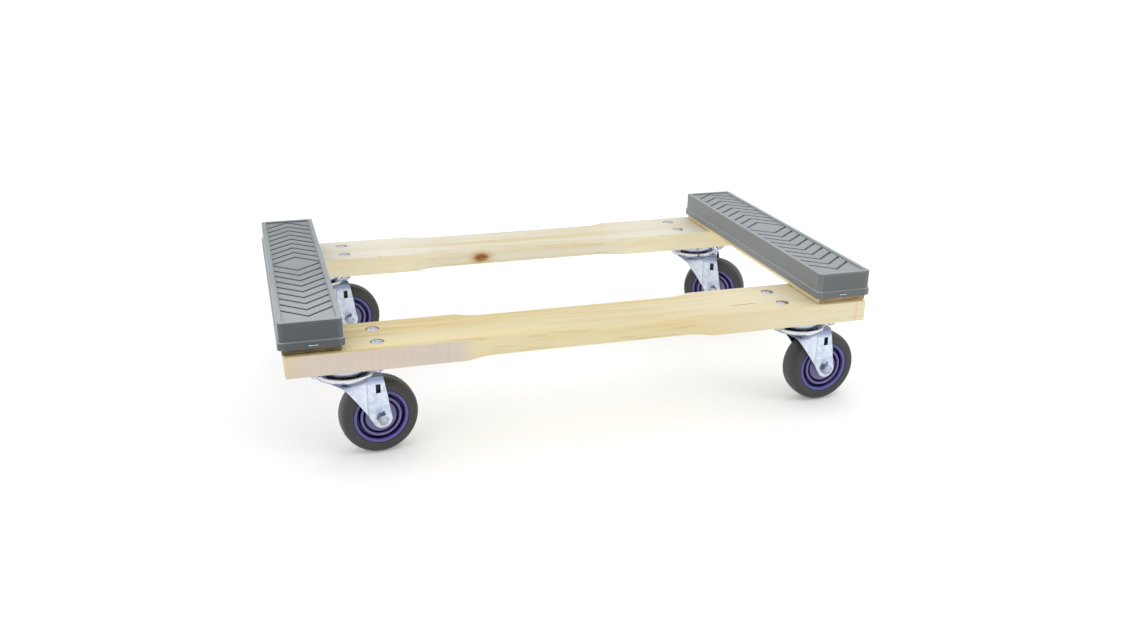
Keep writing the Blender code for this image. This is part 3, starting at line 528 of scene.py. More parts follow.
def fork_details(g, color, cloud):
    """Painted light and shade on the fork: a painted highlight over a dark painted reflection band on the rim, bluish
    painted shade on the flare and on the leading side under the rim, a painted highlight on the middle facet and
    painted shade in its crease, painted shade round the axle and on the inside.
    """
    x, y, z = g.axes()
    ragged = g.times(g.math("SUBTRACT", cloud, 0.5), 0.012)
    edge = g.add(z, ragged)
    # Bluish painted shade under the rim, down the flare, with a ragged lower edge.
    flare = g.times(g.ramp(edge, -0.0330, -0.0235), g.ramp(z, -0.0186, -0.0200))
    color = g.tint(color, srgb(98, 110, 150), flare, 0.70)
    # On the rim's side wall: a painted highlight on its upper part and a dark painted reflection band on its lower
    # part.
    wall = g.times(g.ramp(g.size(g.normal()["Z"]), 0.75, 0.45), g.ramp(z, -0.0202, -0.0196))
    color = g.tint(color, srgb(226, 219, 202), wall, g.ramp(z, -0.0182, -0.0176), 0.50)
    color = g.tint(color, srgb(70, 76, 104), wall, g.ramp(edge, -0.0178, -0.0184), 0.70)
    # Bluish painted shade on the leading side, under the crown.
    nose = g.times(g.ramp(edge, -0.0420, -0.0260), g.ramp(x, 0.0060, -0.0060))
    color = g.tint(color, srgb(92, 100, 140), nose, g.ramp(z, -0.0190, -0.0205), 0.55)
    # A painted highlight on the legs' middle facet, and painted shade along its crease.
    leg = g.ramp(z, -0.0250, -0.0300)
    facet = g.times(g.ramp(x, 0.0075, 0.0105), g.ramp(x, 0.0212, 0.0200))
    color = g.tint(color, srgb(224, 228, 236), leg, facet, 0.42)
    color = g.tint(color, srgb(120, 130, 158), leg, g.ramp(g.apart(x, 0.0206), 0.0012, 0.0003), 0.40)
    # Bluish painted shade round the axle, with a ragged edge.
    from_axle = g.add(g.distance((0.0355, 0.0, -0.0722), (0.007, None, 0.008)), g.times(ragged, 60.0))
    color = g.tint(color, srgb(112, 124, 164), g.ramp(from_axle, 1.3, 0.5), 0.45)
    # Painted shade on the fork's inner faces, under the crown.
    inside = g.times(g.ramp(g.size(y), 0.0190, 0.0184), g.ramp(z, -0.0190, -0.0215))
    return g.tint(color, srgb(96, 100, 112), inside, 0.6)


def plastic(name):
    """Moulded hub: purple outer ring, greyer inner ones, dark navy grooves and fine moulding flow."""
    g = Graph(name, srgb(110, 100, 160), 0.42, Specular_IOR_Level=0.45)
    x, y, z = g.axes()
    radius = g.math("SQRT", g.add(g.times(x, x), g.times(z, z)))
    cloud = g.noise(g.coords.outputs["Object"], 60.0, 4.0, 0.6)
    flow = g.noise(g.vector(g.times(radius, 900.0), g.times(y, 60.0), g.times(g.math("ARCTAN2", x, z), 2.0)),
                   1.0, 2.0)
    color = g.tint(srgb(87, 82, 146), srgb(101, 96, 162), g.ramp(cloud, 0.3, 0.7))
    color = g.tint(color, srgb(118, 108, 152), g.ramp(radius, 0.0300, 0.0272))
    color = g.tint(color, srgb(112, 108, 148), g.ramp(radius, 0.0228, 0.0204))
    color = g.tint(color, srgb(160, 154, 196), g.ramp(flow, 0.5, 0.75), 0.12)
    color = g.tint(color, srgb(21, 15, 96), g.ramp(g.size(y), 0.0138, 0.0100))
    g.set("Base Color", color)
    g.set("Roughness", g.ramp(cloud, 0.3, 0.7, 0.36, 0.52))
    g.set("Normal", g.bump(g.add(g.times(flow, 0.5), g.times(cloud, 0.5)), 0.00012, 0.3))
    return g.material


# ---------------- deck geometry
def cutter_plunge(x):
    """How far the bullnose cutter's outer lip has gone into a rail's edge at x."""
    full = NOTCH_DEPTH + NOTCH_NOSE_RADIUS
    beyond = max(0.0, abs(x) - NOTCH_HALF_LENGTH)
    if beyond >= notch_run_out() - 1e-9:
        return 0.0
    return full - (NOTCH_CUTTER_RADIUS - math.sqrt(NOTCH_CUTTER_RADIUS ** 2 - beyond ** 2))


def notch_run_out():
    full = NOTCH_DEPTH + NOTCH_NOSE_RADIUS
    return math.sqrt(NOTCH_CUTTER_RADIUS ** 2 - (NOTCH_CUTTER_RADIUS - full) ** 2)


def rail_edge(plunge, steps=10):
    """Half of an edge outline as (inset, height), from the top face down past the sanded corner."""
    radius = NOTCH_NOSE_RADIUS
    top = RAIL_THICKNESS / 2
    end_turn = math.acos(min(1.0, plunge / radius))
    length = radius * (math.pi / 2 - end_turn)

    def before_corner(distance):
        if distance > length:
            return Vector((plunge + distance - length, top))
        turn = end_turn + distance / radius
        return Vector((plunge - radius * math.cos(turn), top - radius + radius * math.sin(turn)))

    reach = max(length, RAIL_EASE)
    outline = [before_corner(RAIL_EASE + (reach - RAIL_EASE) * (1 - k / steps)) for k in range(steps + 1)]
    start, corner = outline[-1], before_corner(0.0)
    stop = corner - Vector((0, RAIL_EASE))
    for t in (1 / 3, 2 / 3, 1.0):
        outline.append(start * (1 - t) ** 2 + corner * 2 * t * (1 - t) + stop * t ** 2)
    return outline


def rail_section(x, shrink=0.0):
    upper = rail_edge(cutter_plunge(x))
    edge = upper + [Vector((point.x, -point.y)) for point in reversed(upper)]
    half = RAIL_WIDTH / 2
    right = [(half - point.x, point.y) for point in edge]
    left = [(-y, z) for y, z in reversed(right)]
    squeeze_y = 1 - shrink / half
    squeeze_z = 1 - shrink / (RAIL_THICKNESS / 2)
    return [(x, y * squeeze_y, z * squeeze_z) for y, z in right + left]


def bolt_offsets():
    return [(sx * BOLT_SPACING[0] / 2, sy * BOLT_SPACING[1] / 2) for sx in (-1, 1) for sy in (-1, 1)]


def rail_mesh(center):
    """One rail in the row frame, with a turned seat for each bolt head that shows."""
    run_out = notch_run_out()
    half = [NOTCH_HALF_LENGTH + run_out * math.sin(math.pi / 2 * step / 16) for step in range(17)]
    end = RAIL_LENGTH / 2
    half += [0.21, 0.26, 0.31, 0.35, end - RAIL_EASE]
    inner = [-0.10, -0.05, 0.0, 0.05, 0.10]
    stations = [-x for x in reversed(half)] + inner + half
    loops = [rail_section(-end, RAIL_EASE)] + [rail_section(x) for x in stations] + [rail_section(end, RAIL_EASE)]
    moved = [[(x + center[0], y + center[1], z + center[2]) for x, y, z in loop] for loop in loops]
    blank = loft("rail", moved, 30)
    seats = bmesh.new()
    for end_side in (-1, 1):
        for offset_x, offset_y in bolt_offsets():
            if end_side * offset_x < 0:
                spot = (center[0] + end_side * SWIVEL_X + offset_x, center[1] + offset_y,
                        center[2] + RAIL_THICKNESS / 2)
                cylinder(seats, spot, SEAT_RADIUS, 2 * SEAT_DEPTH, 40)
    return boolean(blank, finish_mesh(seats, "seats"), "DIFFERENCE", 30)


def board_mesh(center):
    """End board with sanded long edges, in the row frame."""
    half_x = (BOARD_OUTER_X - BOARD_INNER_X) / 2
    half_y = BOARD_LENGTH / 2
    half_z = BOARD_THICKNESS / 2
    ease = 0.0008
    outline = rounded([(-half_x, -half_z), (half_x, -half_z), (half_x, half_z), (-half_x, half_z)], ease * 1.6, 3)
    loops = []
    for y, shrink in ((-half_y, ease), (-half_y + ease, 0), (-0.1, 0), (0.1, 0), (half_y - ease, 0), (half_y, ease)):
        scale_x, scale_z = 1 - shrink / half_x, 1 - shrink / half_z
        loops.append([(x * scale_x + center[0], y + center[1], z * scale_z + center[2]) for x, z in outline])
    return loft("end_board", loops, 30)


def chevron_outline(point_y, inner, outer, height, facing):
    """Six-sided V band across the cap's field, from inner to outer of its centreline."""
    reach = (BOARD_OUTER_X - BOARD_INNER_X) / 2 + GAP + CAP_WALL - CAP_RIM_WIDTH - CHEVRON_SIDE_LAND
    drop = CHEVRON_SLOPE * reach
    far, near = point_y + outer, point_y - inner
    outline = [(-reach, far - drop), (0, far), (reach, far - drop),
               (reach, near - drop), (0, near), (-reach, near - drop)]
    return [(x, CHEVRON_MIDDLE_Y + facing * y, height) for x, y in outline]


GROOVE = (                        # (height above the field, inner half width, outer half width)
    (-0.0024, 0.0010, 0.0010), (-0.0022, 0.0016, 0.0016), (-0.0012, 0.0019, 0.0019), (-0.0005, 0.0022, 0.0022),
    (-0.00015, 0.0026, 0.0026), (0.0, 0.0032, 0.0032), (0.0004, 0.0032, 0.0032),
)


def chevron_cutter(field_height):
    bm = bmesh.new()
    for facing in (-1, 1):
        for index in range(CHEVRON_COUNT):
            point_y = CHEVRON_FIRST + CHEVRON_PITCH * index
            skin(bm, [chevron_outline(point_y, inner, outer, field_height + height, facing)
                      for height, inner, outer in GROOVE])
    return finish_mesh(bm, "chevrons")


def cap_mesh(side):
    """Moulded cap round its board, in the row frame; side is -1 on the left and 1 on the right."""
    half_x = (BOARD_OUTER_X - BOARD_INNER_X) / 2 + GAP
    half_y = BOARD_LENGTH / 2 + GAP
    cavity_top = DECK_UNDERSIDE + RAIL_THICKNESS + GAP + BOARD_THICKNESS + GAP
    field = CAP_TOP - CAP_RIM_HEIGHT
    wall = CAP_WALL
    flange = wall + CAP_FLANGE_STEP
    rim = wall - CAP_RIM_WIDTH
    corner = CAP_CORNER_RADIUS
    outer_corner = corner + CAP_FLANGE_STEP
    rows = [                      # (outward of the board, height, corner radius)
        (0, cavity_top, 0.0006), (0, CAP_FLANGE_BOTTOM + 0.0006, 0.0006), (0.0006, CAP_FLANGE_BOTTOM, 0.001),
        (flange - 0.0007, CAP_FLANGE_BOTTOM, outer_corner), (flange - 0.0001, CAP_FLANGE_BOTTOM + 0.0004, outer_corner),
        (flange, CAP_FLANGE_BOTTOM + 0.0010, outer_corner), (flange, CAP_FLANGE_TOP - 0.0010, outer_corner),
        (flange - 0.0002, CAP_FLANGE_TOP - 0.0004, outer_corner), (flange - 0.0007, CAP_FLANGE_TOP, outer_corner),
        (wall + 0.0004, CAP_FLANGE_TOP + 0.00005, corner), (wall, CAP_FLANGE_TOP + 0.0005, corner),
        (wall - 0.0001, (CAP_FLANGE_TOP + CAP_TOP) / 2, corner),
        (wall, CAP_TOP - 0.0013, corner), (wall - 0.0002, CAP_TOP - 0.0006, corner),
        (wall - 0.0006, CAP_TOP - 0.00015, corner), (wall - 0.0012, CAP_TOP, corner),
        (rim + 0.0008, CAP_TOP, wall), (rim + 0.0002, CAP_TOP - 0.0002, wall), (rim - 0.0002, CAP_TOP - 0.0007, wall),
        (rim - 0.0004, field + 0.0004, wall), (rim - 0.0008, field + 0.0001, wall), (rim - 0.0013, field, wall),
    ]
    loops = [rounded_rectangle(-half_x - grow, half_x + grow, -half_y - grow, half_y + grow, radius, height)
             for grow, height, radius in rows]
    tray = loft("rubber_cap", loops, 50)
    grooved = boolean(tray, chevron_cutter(field), "DIFFERENCE", 50)
    grooved.transform(Matrix.Translation((DECK_X + side * BOARD_MIDDLE_X, 0, 0)))
    return grooved


# ---------------- fasteners
def hex_prism(corner_radius, low, high, profile, name):
    """Hexagon turned down to a lathe profile of (radius, height), which rounds its corners off."""
    loops = [[(corner_radius * math.cos(math.radians(60 * i)), corner_radius * math.sin(math.radians(60 * i)), h)
              for i in range(6)] for h in (low, high)]
    return boolean(loft(name, loops), turned("lathe", profile, 48), "INTERSECT", 25)


def joined(name, *meshes):
    """Several separate closed shells in one mesh."""
    bm = bmesh.new()
    for mesh in meshes:
        bm.from_mesh(mesh)
    result = bpy.data.meshes.new(name)
    bm.to_mesh(result)
    bm.free()
    return result


def carriage_bolt_mesh(grip):
    """Domed head with its underside at z = 0, shank, and a hex nut with bare thread below it."""
    nut_top = -grip - GAP
    nut_low = nut_top - 0.0062
    tip = nut_low - 0.0025
    head = [(0.0, 0.0022), (0.0020, 0.00215), (0.0040, 0.0018), (0.0058, 0.0012), (0.0071, 0.0005),
            (0.0077, 0.0001), (0.0078, -0.0001), (0.0076, -0.0003), (0.0039, -0.0003)]
    thread = []
    height = nut_low + 0.001
    while height > tip + THREAD_PITCH:
        thread += [(0.0039, height), (0.00355, height - THREAD_PITCH / 2)]
        height -= THREAD_PITCH
    thread += [(0.0037, tip + 0.0004), (0.0032, tip), (0.0, tip)]
    shank = turned("carriage_bolt", head + thread, 28, closed=False, sharp=35)
    collar = [(0.0036, nut_low), (0.0062, nut_low), (0.0070, nut_low + 0.0006), (0.0073, nut_low + 0.0012),
              (0.0073, nut_top), (0.0036, nut_top)]
    nut = hex_prism(0.0072, nut_low - 0.001, nut_top + 0.001, collar, "nut")
    return joined("carriage_bolt", shank, nut)


def along_minus_y(mesh):
    """Turns a mesh made along +Z to run along -Y."""
    mesh.transform(Matrix.Rotation(math.radians(90), 4, "X"))
    return mesh


def axle_bolt_mesh():
    seat = FORK_OUTER_Y + GAP
    top = seat + 0.0052
    lathe = [(0.0, seat), (HEX_HALF_WIDTH, seat), (HEX_HALF_WIDTH, top - 0.0009), (0.0064, top - 0.0001),
             (0.0060, top), (0.0052, top), (0.0048, top - 0.0004), (0.0, top - 0.0004)]
    head = hex_prism(HEX_HALF_WIDTH, seat - 0.001, top + 0.001, lathe, "head")
    end = -seat - 0.0098
    profile = [(0.0, seat + 0.0004), (0.0040, seat + 0.0004), (0.0040, -seat - 0.001)]
    height = -seat - 0.0015
    while height > end + 0.0015:
        profile += [(0.0040, height), (0.0037, height - 0.0006)]
        height -= THREAD_PITCH
    profile += [(0.0038, end + 0.0006), (0.0032, end), (0.0, end)]
    shank = turned("shank", profile, 24, closed=False, sharp=35)
    return along_minus_y(joined("axle_bolt", head, shank))


def axle_nut_mesh():
    """Lock nut against the +Y leg: hex body, then a round collar over its nylon ring."""
    near = -FORK_OUTER_Y - GAP
    far = near - 0.0078
    bore = 0.0043
    lathe = [(bore, near), (0.0068, near), (HEX_HALF_WIDTH, near - 0.0008), (HEX_HALF_WIDTH, near - 0.0056),
             (0.0066, near - 0.0062), (0.0061, near - 0.0064), (0.0060, far + 0.0006), (0.0056, far + 0.0001),
             (0.0050, far), (bore, far)]
    nut = hex_prism(HEX_HALF_WIDTH, far - 0.001, near + 0.001, lathe, "axle_nut")
    return along_minus_y(nut)


# ---------------- casters
def top_plate_mesh():
    """Mounting plate with bevelled edges and its pressed round race; the top face is at z = 0."""
    rows = [(-0.0004, 0.0), (0.0, -0.0004), (0.0, -PLATE_THICKNESS + 0.0006), (-0.0006, -PLATE_THICKNESS)]
    plate = loft("top_plate", [rounded_rectangle(-PLATE_HALF_X - grow, PLATE_HALF_X + grow, -PLATE_HALF_Y - grow,
                                                 PLATE_HALF_Y + grow, PLATE_CORNER_RADIUS, height)
                               for grow, height in rows])
    profile = [(0.0066, -0.0010), (0.0296, -0.0010), (0.0296, -0.0036), (0.0294, -0.0070), (0.02935, -0.0108),
               (0.0291, -0.0120), (0.0286, -0.0127), (0.0278, -0.0130), (0.0258, -0.0130), (0.0251, -0.0127),
               (0.0247, -0.0118), (0.0242, -0.0104), (0.0236, -0.0100), (0.0222, -0.0100), (0.0205, -0.0096),
               (0.0188, -0.0100), (0.0066, -0.0100)]
    return boolean(plate, turned("race", profile, 72), "UNION", 32)


def kingpin_mesh():
    washer_top = -0.0208
    profile = [(0.0, -0.0006), (0.0105, -0.0006), (0.0105, -0.0058), (0.0060, -0.0058), (0.0060, washer_top),
               (0.0096, washer_top), (0.0100, washer_top - 0.0004), (0.0100, washer_top - 0.0022),
               (0.0094, washer_top - 0.0028), (0.0072, washer_top - 0.0028), (0.0069, washer_top - 0.0034),
               (0.0066, washer_top - 0.0046), (0.0058, washer_top - 0.0053), (0.0040, washer_top - 0.0055),
               (0.0022, washer_top - 0.0051), (0.0, washer_top - 0.0050)]
    return turned("kingpin", profile, 36, closed=False, sharp=32)


def ball_ring_mesh():
    """The bearing's balls, and the pressed cage that spaces them."""
    bm = bmesh.new()
    for index in range(BALL_COUNT):
        turn = math.tau * index / BALL_COUNT
        spot = Matrix.Translation((BALL_CIRCLE_RADIUS * math.cos(turn), BALL_CIRCLE_RADIUS * math.sin(turn), 0))
        bmesh.ops.create_uvsphere(bm, u_segments=16, v_segments=10, radius=BALL_RADIUS, matrix=spot)
    balls = finish_mesh(bm, "balls", 80)
    section = [(0.0176, -0.0008), (0.0234, -0.0008), (0.0234, 0.0008), (0.0176, 0.0008)]
    return joined("ball_ring", balls, turned("cage", rounded(section, 0.0003, 2), 48))


# Step pressed into the leg's leading half: (x, offset of the leg's face).
JOGGLE = ((-0.0365, -0.0012), (0.0078, -0.0012), (0.0092, -0.0011), (0.0200, -0.0001), (0.0214, 0.0), (0.0634, 0.0))


def joggle(x):
    """Offset of the leg's face at x."""
    for (x0, y0), (x1, y1) in zip(JOGGLE, JOGGLE[1:]):
        if x <= x1:
            return y0 + (y1 - y0) * max(0.0, (x - x0) / (x1 - x0))
    return 0.0


def fork_side_outline():
    """The fork from the side, as (x, z): leading edge, round foot about the axle, trailing edge, crown."""
    start, end, steps = 214, 364, 20
    foot = []
    for step in range(steps + 1):
        turn = math.radians(start + (end - start) * step / steps)
        foot.append((TRAIL + FORK_FOOT_RADIUS * math.cos(turn), AXLE_DROP + FORK_FOOT_RADIUS * math.sin(turn)))
    leading = smooth_path([(-0.0244, -0.0180), (-0.0228, -0.0222), (-0.0150, -0.0266), (-0.0058, -0.0350),
                           (0.0078, -0.0532), (0.0192, -0.0700)], 4)
    trailing = smooth_path([(0.0480, -0.0620), (0.0465, -0.0500), (0.0440, -0.0360), (0.0418, -0.0240),
                            (0.0404, -0.0185), (0.0385, -0.0165)], 3)
    return [*leading, *foot, *trailing, (-0.0232, -0.0165)]


def smooth_path(points, steps):
    """Catmull-Rom line through the points."""
    result = []
    last = len(points) - 1
    for i in range(last):
        p0, p1, p2, p3 = (Vector(points[max(0, min(last, i + k))]) for k in (-1, 0, 1, 2))
        for step in range(steps):
            t = step / steps
            result.append(tuple(0.5 * ((2 * p1) + (p2 - p0) * t + (2 * p0 - 5 * p1 + 4 * p2 - p3) * t ** 2
                                       + (3 * p1 - p0 - 3 * p2 + p3) * t ** 3)))
    result.append(points[-1])
    return result


def channel_loop(x):
    """Section of the pressed channel that becomes the fork: two legs and a web, with round shoulders."""
    top = CROWN_FLOOR - GAP
    bottom = AXLE_DROP - 0.0248
    outer_y = FORK_OUTER_Y + joggle(x)
    inner_y = outer_y - FORK_THICKNESS
    radius = FORK_SHOULDER_RADIUS
    outer, inner = [(outer_y, bottom)], [(inner_y, bottom)]
    for step in range(9):
        turn = math.radians(90 * step / 8)
        outer.append((outer_y - radius + radius * math.cos(turn), top - radius + radius * math.sin(turn)))
        small = radius - FORK_THICKNESS
        inner.append((outer_y - radius + small * math.cos(turn), top - radius + small * math.sin(turn)))
    outside = outer + [(-y, z) for y, z in reversed(outer)]
    inside = inner + [(-y, z) for y, z in reversed(inner)]
    return [(x, y, z) for y, z in outside + list(reversed(inside))]


def shoulder_mesh(side):
    """Flare that leads from the crown's round rim down to the flat of a leg."""
    columns, rows = 28, 9
    top = CROWN_RIM_BOTTOM + GAP
    loops = []
    for column in range(columns + 1):
        x = FLARE_HALF_LENGTH * (2 * column / columns - 1)
        face = FORK_OUTER_Y + joggle(x) - 0.0001
        overhang = math.sqrt(FLARE_RADIUS ** 2 - x ** 2) - face
        drop = 0.0024 + 1.35 * overhang
        section = [(face + overhang * (1 - row / rows) ** 2.2, top - drop * row / rows) for row in range(rows + 1)]
        section += [(face - 0.0014, top - drop), (face - 0.0014, top)]
        loops.append([(x, side * y, z) for y, z in section])
    return loft("shoulder", loops)


def yoke_mesh():
    """Swivel fork: dished crown with a rolled rim, flared shoulders and two joggled legs."""
    rim = rounded([(0.0327, -0.0150), (0.0344, -0.0131), (CROWN_RADIUS, -0.0134), (CROWN_RADIUS, -0.0192),
                   (0.0352, CROWN_RIM_BOTTOM), (0.0328, CROWN_RIM_BOTTOM)],
                  [0.0006, 0.0008, 0.0013, 0.0016, 0.0005, 0.0], 4)
    profile = [(0.0064, CROWN_FLOOR), (0.0258, CROWN_FLOOR), (0.0280, -0.0167), *rim, (0.0320, CROWN_UNDERSIDE),
               (0.0064, CROWN_UNDERSIDE)]
    crown = turned("yoke", profile, 84)
    sheet = loft("channel", [channel_loop(x) for x, _ in JOGGLE])
    for shoulder_side in (-1, 1):
        sheet = boolean(sheet, shoulder_mesh(shoulder_side), "UNION")
    side = fork_side_outline()
    outline = loft("outline", [[(x, y, z) for x, z in side] for y in (-0.036, 0.036)])
    body = boolean(crown, boolean(sheet, outline, "INTERSECT"), "UNION")
    holes = bmesh.new()
    cylinder(holes, (TRAIL, 0, AXLE_DROP), AXLE_HOLE_RADIUS, 0.09, 28, "Y")
    pilot_x, pilot_z, pilot_radius = PILOT_HOLE
    cylinder(holes, (pilot_x, 0, pilot_z), pilot_radius, 0.09, 16, "Y")
    slot = rounded_rectangle(*SLOT, 0.0006, 0.0, 3)
    skin(holes, [[(x, y, z) for x, z, _ in slot] for y in (-0.045, 0.045)])
    return boolean(body, finish_mesh(holes, "holes"), "DIFFERENCE", 28)


def tyre_mesh():
    """Smooth rounded tread on the hub, and flat sides."""
    half = TYRE_HALF_WIDTH
    profile = both_sides([
        (0.0355, half - 0.0010), (0.0360, half - 0.0004), (0.0372, half - 0.0002), (0.0400, half - 0.0001),
        (0.0428, half - 0.0002), (0.0448, half - 0.0006), (0.0463, half - 0.0014), (0.0475, half - 0.0026),
        (0.0484, half - 0.0042), (0.0491, half - 0.0062), (0.0496, half - 0.0086), (0.0499, half - 0.0112),
        (TYRE_RADIUS, half - 0.0135), (TYRE_RADIUS, 0.0004), (0.04995, 0.0001),
    ])
    return turned("tyre", profile, WHEEL_SEGMENTS, axis="Y", sharp=60)


def core_mesh():
    """Moulded hub face: bore boss, inner disc, groove, ring, deep groove and outer ring, all with soft edges."""
    half = [(0.0067, 0.0178), (0.0108, 0.0178), (0.0116, 0.0141), (0.0199, 0.0134), (0.0206, 0.0080), (0.0228, 0.0080),
            (0.0234, 0.0143), (0.0262, 0.0143), (0.0270, 0.0060), (0.0306, 0.0060), (0.0314, 0.0151),
            (TYRE_SEAT_RADIUS, 0.0151)]
    profile = both_sides(rounded(half, 0.0007, 3)[3:-1] + [(TYRE_SEAT_RADIUS, 0.0146)])
    return turned("wheel_core", profile, WHEEL_SEGMENTS, axis="Y", sharp=50)


# ---------------- build the pieces
def build_deck():
    rail_z = DECK_UNDERSIDE + RAIL_THICKNESS / 2
    board_z = DECK_UNDERSIDE + RAIL_THICKNESS + GAP + BOARD_THICKNESS / 2
    front = wood("wood_rail_front", details=front_rail_details)
    back_knots = (                # (centre, half width, strength)
        ((-0.0690, 0.1354, 0.1412), 0.0088, 1.0), ((-0.0668, 0.1354, 0.1382), 0.0030, 1.0),
        ((-0.2615, 0.2023, 0.1564), 0.0016, 0.7), ((-0.2540, 0.1580, 0.1564), 0.0014, 0.7),
        ((-0.2231, 0.1375, 0.1564), 0.0020, 0.5))
    back = wood("wood_rail_back", seed=3.1, pale=srgb(228, 221, 197), streak=srgb(222, 204, 160), knots=back_knots,
                details=back_rail_details)
    boards = {
        "left": wood("wood_board_left", "Y", 5.3, srgb(122, 100, 66), srgb(92, 70, 42),
                     end_color=srgb(118, 104, 72), end_ring=srgb(78, 66, 42)),
        "right": wood("wood_board_right", "Y", 7.9, srgb(236, 222, 178), srgb(224, 202, 150),
                      end_color=srgb(186, 160, 120), end_ring=srgb(150, 120, 84)),
    }
    cap_rubber = rubber("cap_rubber", srgb(78, 84, 86), srgb(92, 98, 100), 0.42, 1100.0, 0.55, cap_details,
                        Specular_IOR_Level=0.62, Sheen_Weight=0.45, Sheen_Roughness=0.35)
    for name, side, material in (("front", -1, front), ("back", 1, back)):
        piece(f"rail_{name}_wood", rail_mesh((DECK_X, side * SWIVEL_Y, rail_z)), material, "deck", "rail_" + name,
              "hardwood", weighted=True)
    for name, side in (("left", -1), ("right", 1)):
        piece("end_board_wood_" + name, board_mesh((DECK_X + side * BOARD_MIDDLE_X, 0, board_z)), boards[name],
              "deck", "end_board_" + name, "hardwood", weighted=True)
        piece("cap_" + name, cap_mesh(side), cap_rubber, "deck", "rubber_cap_" + name, "cap_rubber", weighted=True)


def sides(place):
    """Which side of the deck a caster is on, as signs along X and Y."""
    return (-1 if place.endswith("left") else 1), (-1 if place.startswith("front") else 1)


def build_fasteners(bright):
    rail_top = DECK_UNDERSIDE + RAIL_THICKNESS
    board_top = rail_top + GAP + BOARD_THICKNESS
    short = carriage_bolt_mesh(RAIL_THICKNESS - RAIL_HEAD_SINK + PLATE_THICKNESS + GAP)
    long = carriage_bolt_mesh(RAIL_THICKNESS + GAP + BOARD_THICKNESS - BOARD_HEAD_SINK + PLATE_THICKNESS + GAP)
    for place in PLACES:
        side_x, side_y = sides(place)
        for index, (offset_x, offset_y) in enumerate(bolt_offsets()):
            under_cap = offset_x * side_x > 0
            seat = board_top - BOARD_HEAD_SINK if under_cap else rail_top - RAIL_HEAD_SINK
            where = (DECK_X + side_x * SWIVEL_X + offset_x, side_y * SWIVEL_Y + offset_y, seat)
            name = f"{place}_{index + 1}"
            piece("bolt_" + name, long if under_cap else short, bright, "deck", "carriage_bolt_" + name, "zinc_steel",
                  where, BOLT_TURN * index)


def build_casters(sheet, pressed, bright, steel, tyre_rubber, hub):
    plate, pin, balls, yoke = top_plate_mesh(), kingpin_mesh(), ball_ring_mesh(), yoke_mesh()
    tyre, core, axle, nut = tyre_mesh(), core_mesh(), axle_bolt_mesh(), axle_nut_mesh()
    for place in PLACES:
        side_x, side_y = sides(place)
        swivel = Vector((DECK_X + side_x * SWIVEL_X, side_y * SWIVEL_Y, DECK_UNDERSIDE))
        angle = TRAIL_ANGLE[place]
        turn = math.radians(angle)
        hinge = swivel + Vector((TRAIL * math.cos(turn), TRAIL * math.sin(turn), AXLE_DROP))
        plate_top = swivel - Vector((0, 0, GAP))
        ball_middle = swivel + Vector((0, 0, BALL_MIDDLE_Z))
        fork, wheel = "fork_" + place, "wheel_" + place
        for name, mesh, material, body, node, slot, where, turned_by, finish in (
            ("plate", plate, sheet, "deck", "top_plate", "zinc_steel", plate_top, 0.0, {"weighted": True}),
            ("pin", pin, steel, "deck", "kingpin", "bright_steel", swivel, 0.0, {}),
            ("bearing", balls, steel, "deck", "ball_ring", "bright_steel", ball_middle, 0.0, {}),
            ("fork_sheet", yoke, pressed, fork, "yoke", "zinc_steel", swivel, angle, {"bevel": YOKE_BEVEL}),
            ("axle", axle, bright, fork, "axle_bolt", "zinc_steel", hinge, angle, {}),
            ("lock_nut", nut, bright, fork, "axle_nut", "zinc_steel", hinge, angle, {}),
            ("tread", tyre, tyre_rubber, wheel, "tyre", "tyre_rubber", hinge, angle, {}),
            ("hub", core, hub, wheel, "wheel_core", "hub_plastic", hinge, angle, {}),
        ):
            piece(f"{name}_{place}", mesh, material, body, f"{node}_{place}", slot, where, turned_by, **finish)


def dress_cad_nodes(bright, steel):
    """The staples and axle sleeves keep their CAD shape and take a finished material."""
    for name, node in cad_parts.items():
        if name.startswith(("staple", "axle_sleeve")):
            is_staple = name.startswith("staple")
            node.data.materials.clear()
            node.data.materials.append(bright if is_staple else steel)
            if is_staple:
                add_bevel(node, STAPLE_BEVEL)


# ---------------- stage, light and camera
CAMERA_LOCATION = (-0.4147, -1.4344, 0.6475)
CAMERA_TURN = (1.2079, -0.0062, -0.2786)
CAMERA_LENS = 34.5403
CAMERA_SHIFT = (0.01794, 0.00112)
FLOOR_TONE = 0.84
FLOOR_GLOW = 0.17
SKY_COLOR = (0.97, 0.985, 1.0, 1)
SKY_HEIGHTS = (0.25, 0.75, 1.03, 1.25)        # brighter overhead: height from, to, strength from, to
SKY_ROOM = (-0.45, -0.80, 1.0, 0.45)          # the dark side of the studio, behind the camera
KEY_LIGHT = ("key", (1.5, -1.3, 1.3), (0.25, -0.1, 0.1), 0.9, 5.5)
FILL_LIGHT = ("fill", (-1.5, -0.9, 0.9), (0.3, 0, 0.1), 0.8, 3.5)


def build_stage():
    bm = bmesh.new()
    bmesh.ops.create_circle(bm, cap_ends=True, segments=64, radius=30.0)
    floor = bpy.data.objects.new("floor", finish_mesh(bm, "floor"))
    bpy.context.scene.collection.objects.link(floor)
    floor.location = (0, 0, -0.0001)
    g = Graph("floor_paper", (FLOOR_TONE, FLOOR_TONE, FLOOR_TONE, 1), 0.9, Specular_IOR_Level=0.1)
    g.set("Emission Color", (1, 1, 1, 1))
    g.set("Emission Strength", FLOOR_GLOW)
    floor.data.materials.append(g.material)


def area_light(name, location, target, size, power):
    data = bpy.data.lights.new(name, "AREA")
    data.shape = "RECTANGLE"
    data.size = data.size_y = size
    data.energy = power
    light = bpy.data.objects.new(name, data)
    bpy.context.scene.collection.objects.link(light)
    light.location = location
    light.rotation_euler = (Vector(target) - Vector(location)).to_track_quat("-Z", "Y").to_euler()


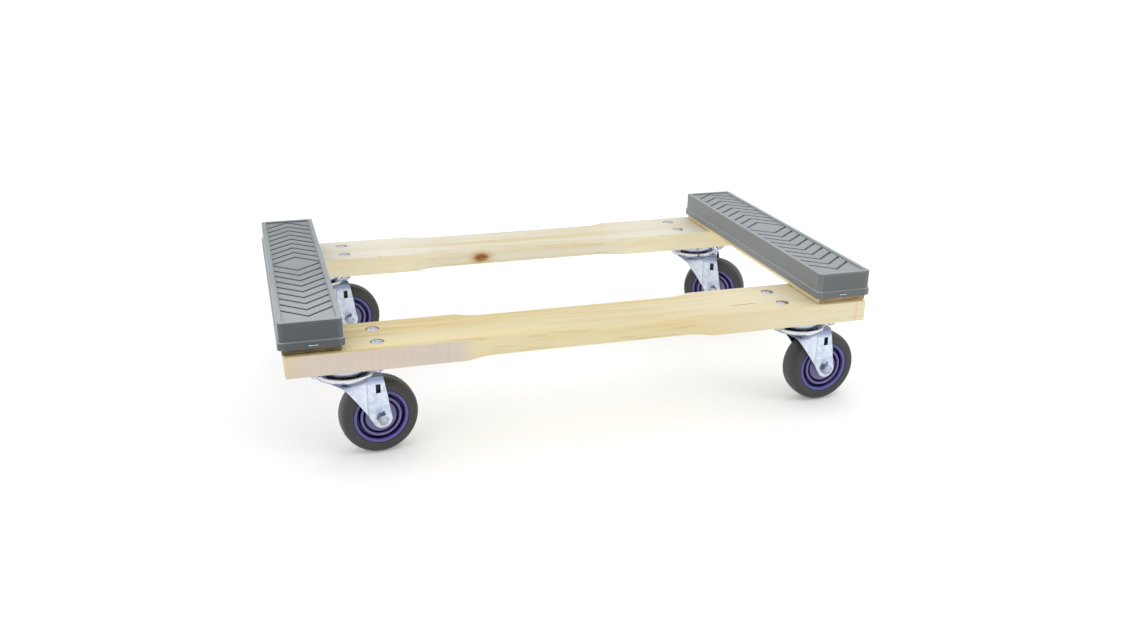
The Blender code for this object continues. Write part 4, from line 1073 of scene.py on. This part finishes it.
def build_light():
    world = bpy.data.worlds.new("studio")
    bpy.context.scene.world = world
    world.use_nodes = True
    nodes, links = world.node_tree.nodes, world.node_tree.links
    part = nodes.new("ShaderNodeSeparateXYZ")
    links.new(nodes.new("ShaderNodeTexCoord").outputs["Generated"], part.inputs["Vector"])
    light = nodes.new("ShaderNodeMath")
    light.operation = "MULTIPLY"
    for index, (axis, kind, values) in enumerate((("Z", "LINEAR", SKY_HEIGHTS), ("Y", "SMOOTHSTEP", SKY_ROOM))):
        ramp = nodes.new("ShaderNodeMapRange")
        ramp.interpolation_type = kind
        for socket, value in zip(("From Min", "From Max", "To Min", "To Max"), values):
            ramp.inputs[socket].default_value = value
        links.new(part.outputs[axis], ramp.inputs["Value"])
        links.new(ramp.outputs["Result"], light.inputs[index])
    background = nodes["Background"]
    background.inputs["Color"].default_value = SKY_COLOR
    links.new(light.outputs["Value"], background.inputs["Strength"])
    area_light(*KEY_LIGHT)
    area_light(*FILL_LIGHT)


def build_camera():
    data = bpy.data.cameras.new("camera")
    camera = bpy.data.objects.new("camera", data)
    bpy.context.scene.collection.objects.link(camera)
    camera.location = CAMERA_LOCATION
    camera.rotation_euler = CAMERA_TURN
    data.sensor_width = 36
    data.lens = CAMERA_LENS
    data.shift_x, data.shift_y = CAMERA_SHIFT
    data.clip_start = 0.01
    data.clip_end = 100
    bpy.context.scene.camera = camera


def main():
    bpy.context.scene.view_settings.view_transform = "Standard"
    sheet = zinc("zinc_sheet", srgb(188, 193, 204), 0.22)
    pressed = zinc("zinc_fork", srgb(216, 225, 240), 0.22, details=fork_details)
    bright = zinc("zinc_bolt", srgb(160, 164, 170), 0.24, 0.12)
    steel = zinc("turned_steel", srgb(170, 170, 172), 0.26, 0.14)
    tyre_rubber = rubber("tyre_rubber", srgb(49, 49, 50), srgb(60, 59, 59), 0.48, 700.0, 0.30)
    hub = plastic("hub_plastic")
    build_deck()
    build_fasteners(bright)
    build_casters(sheet, pressed, bright, steel, tyre_rubber, hub)
    dress_cad_nodes(bright, steel)
    build_stage()
    build_light()
    build_camera()


main()
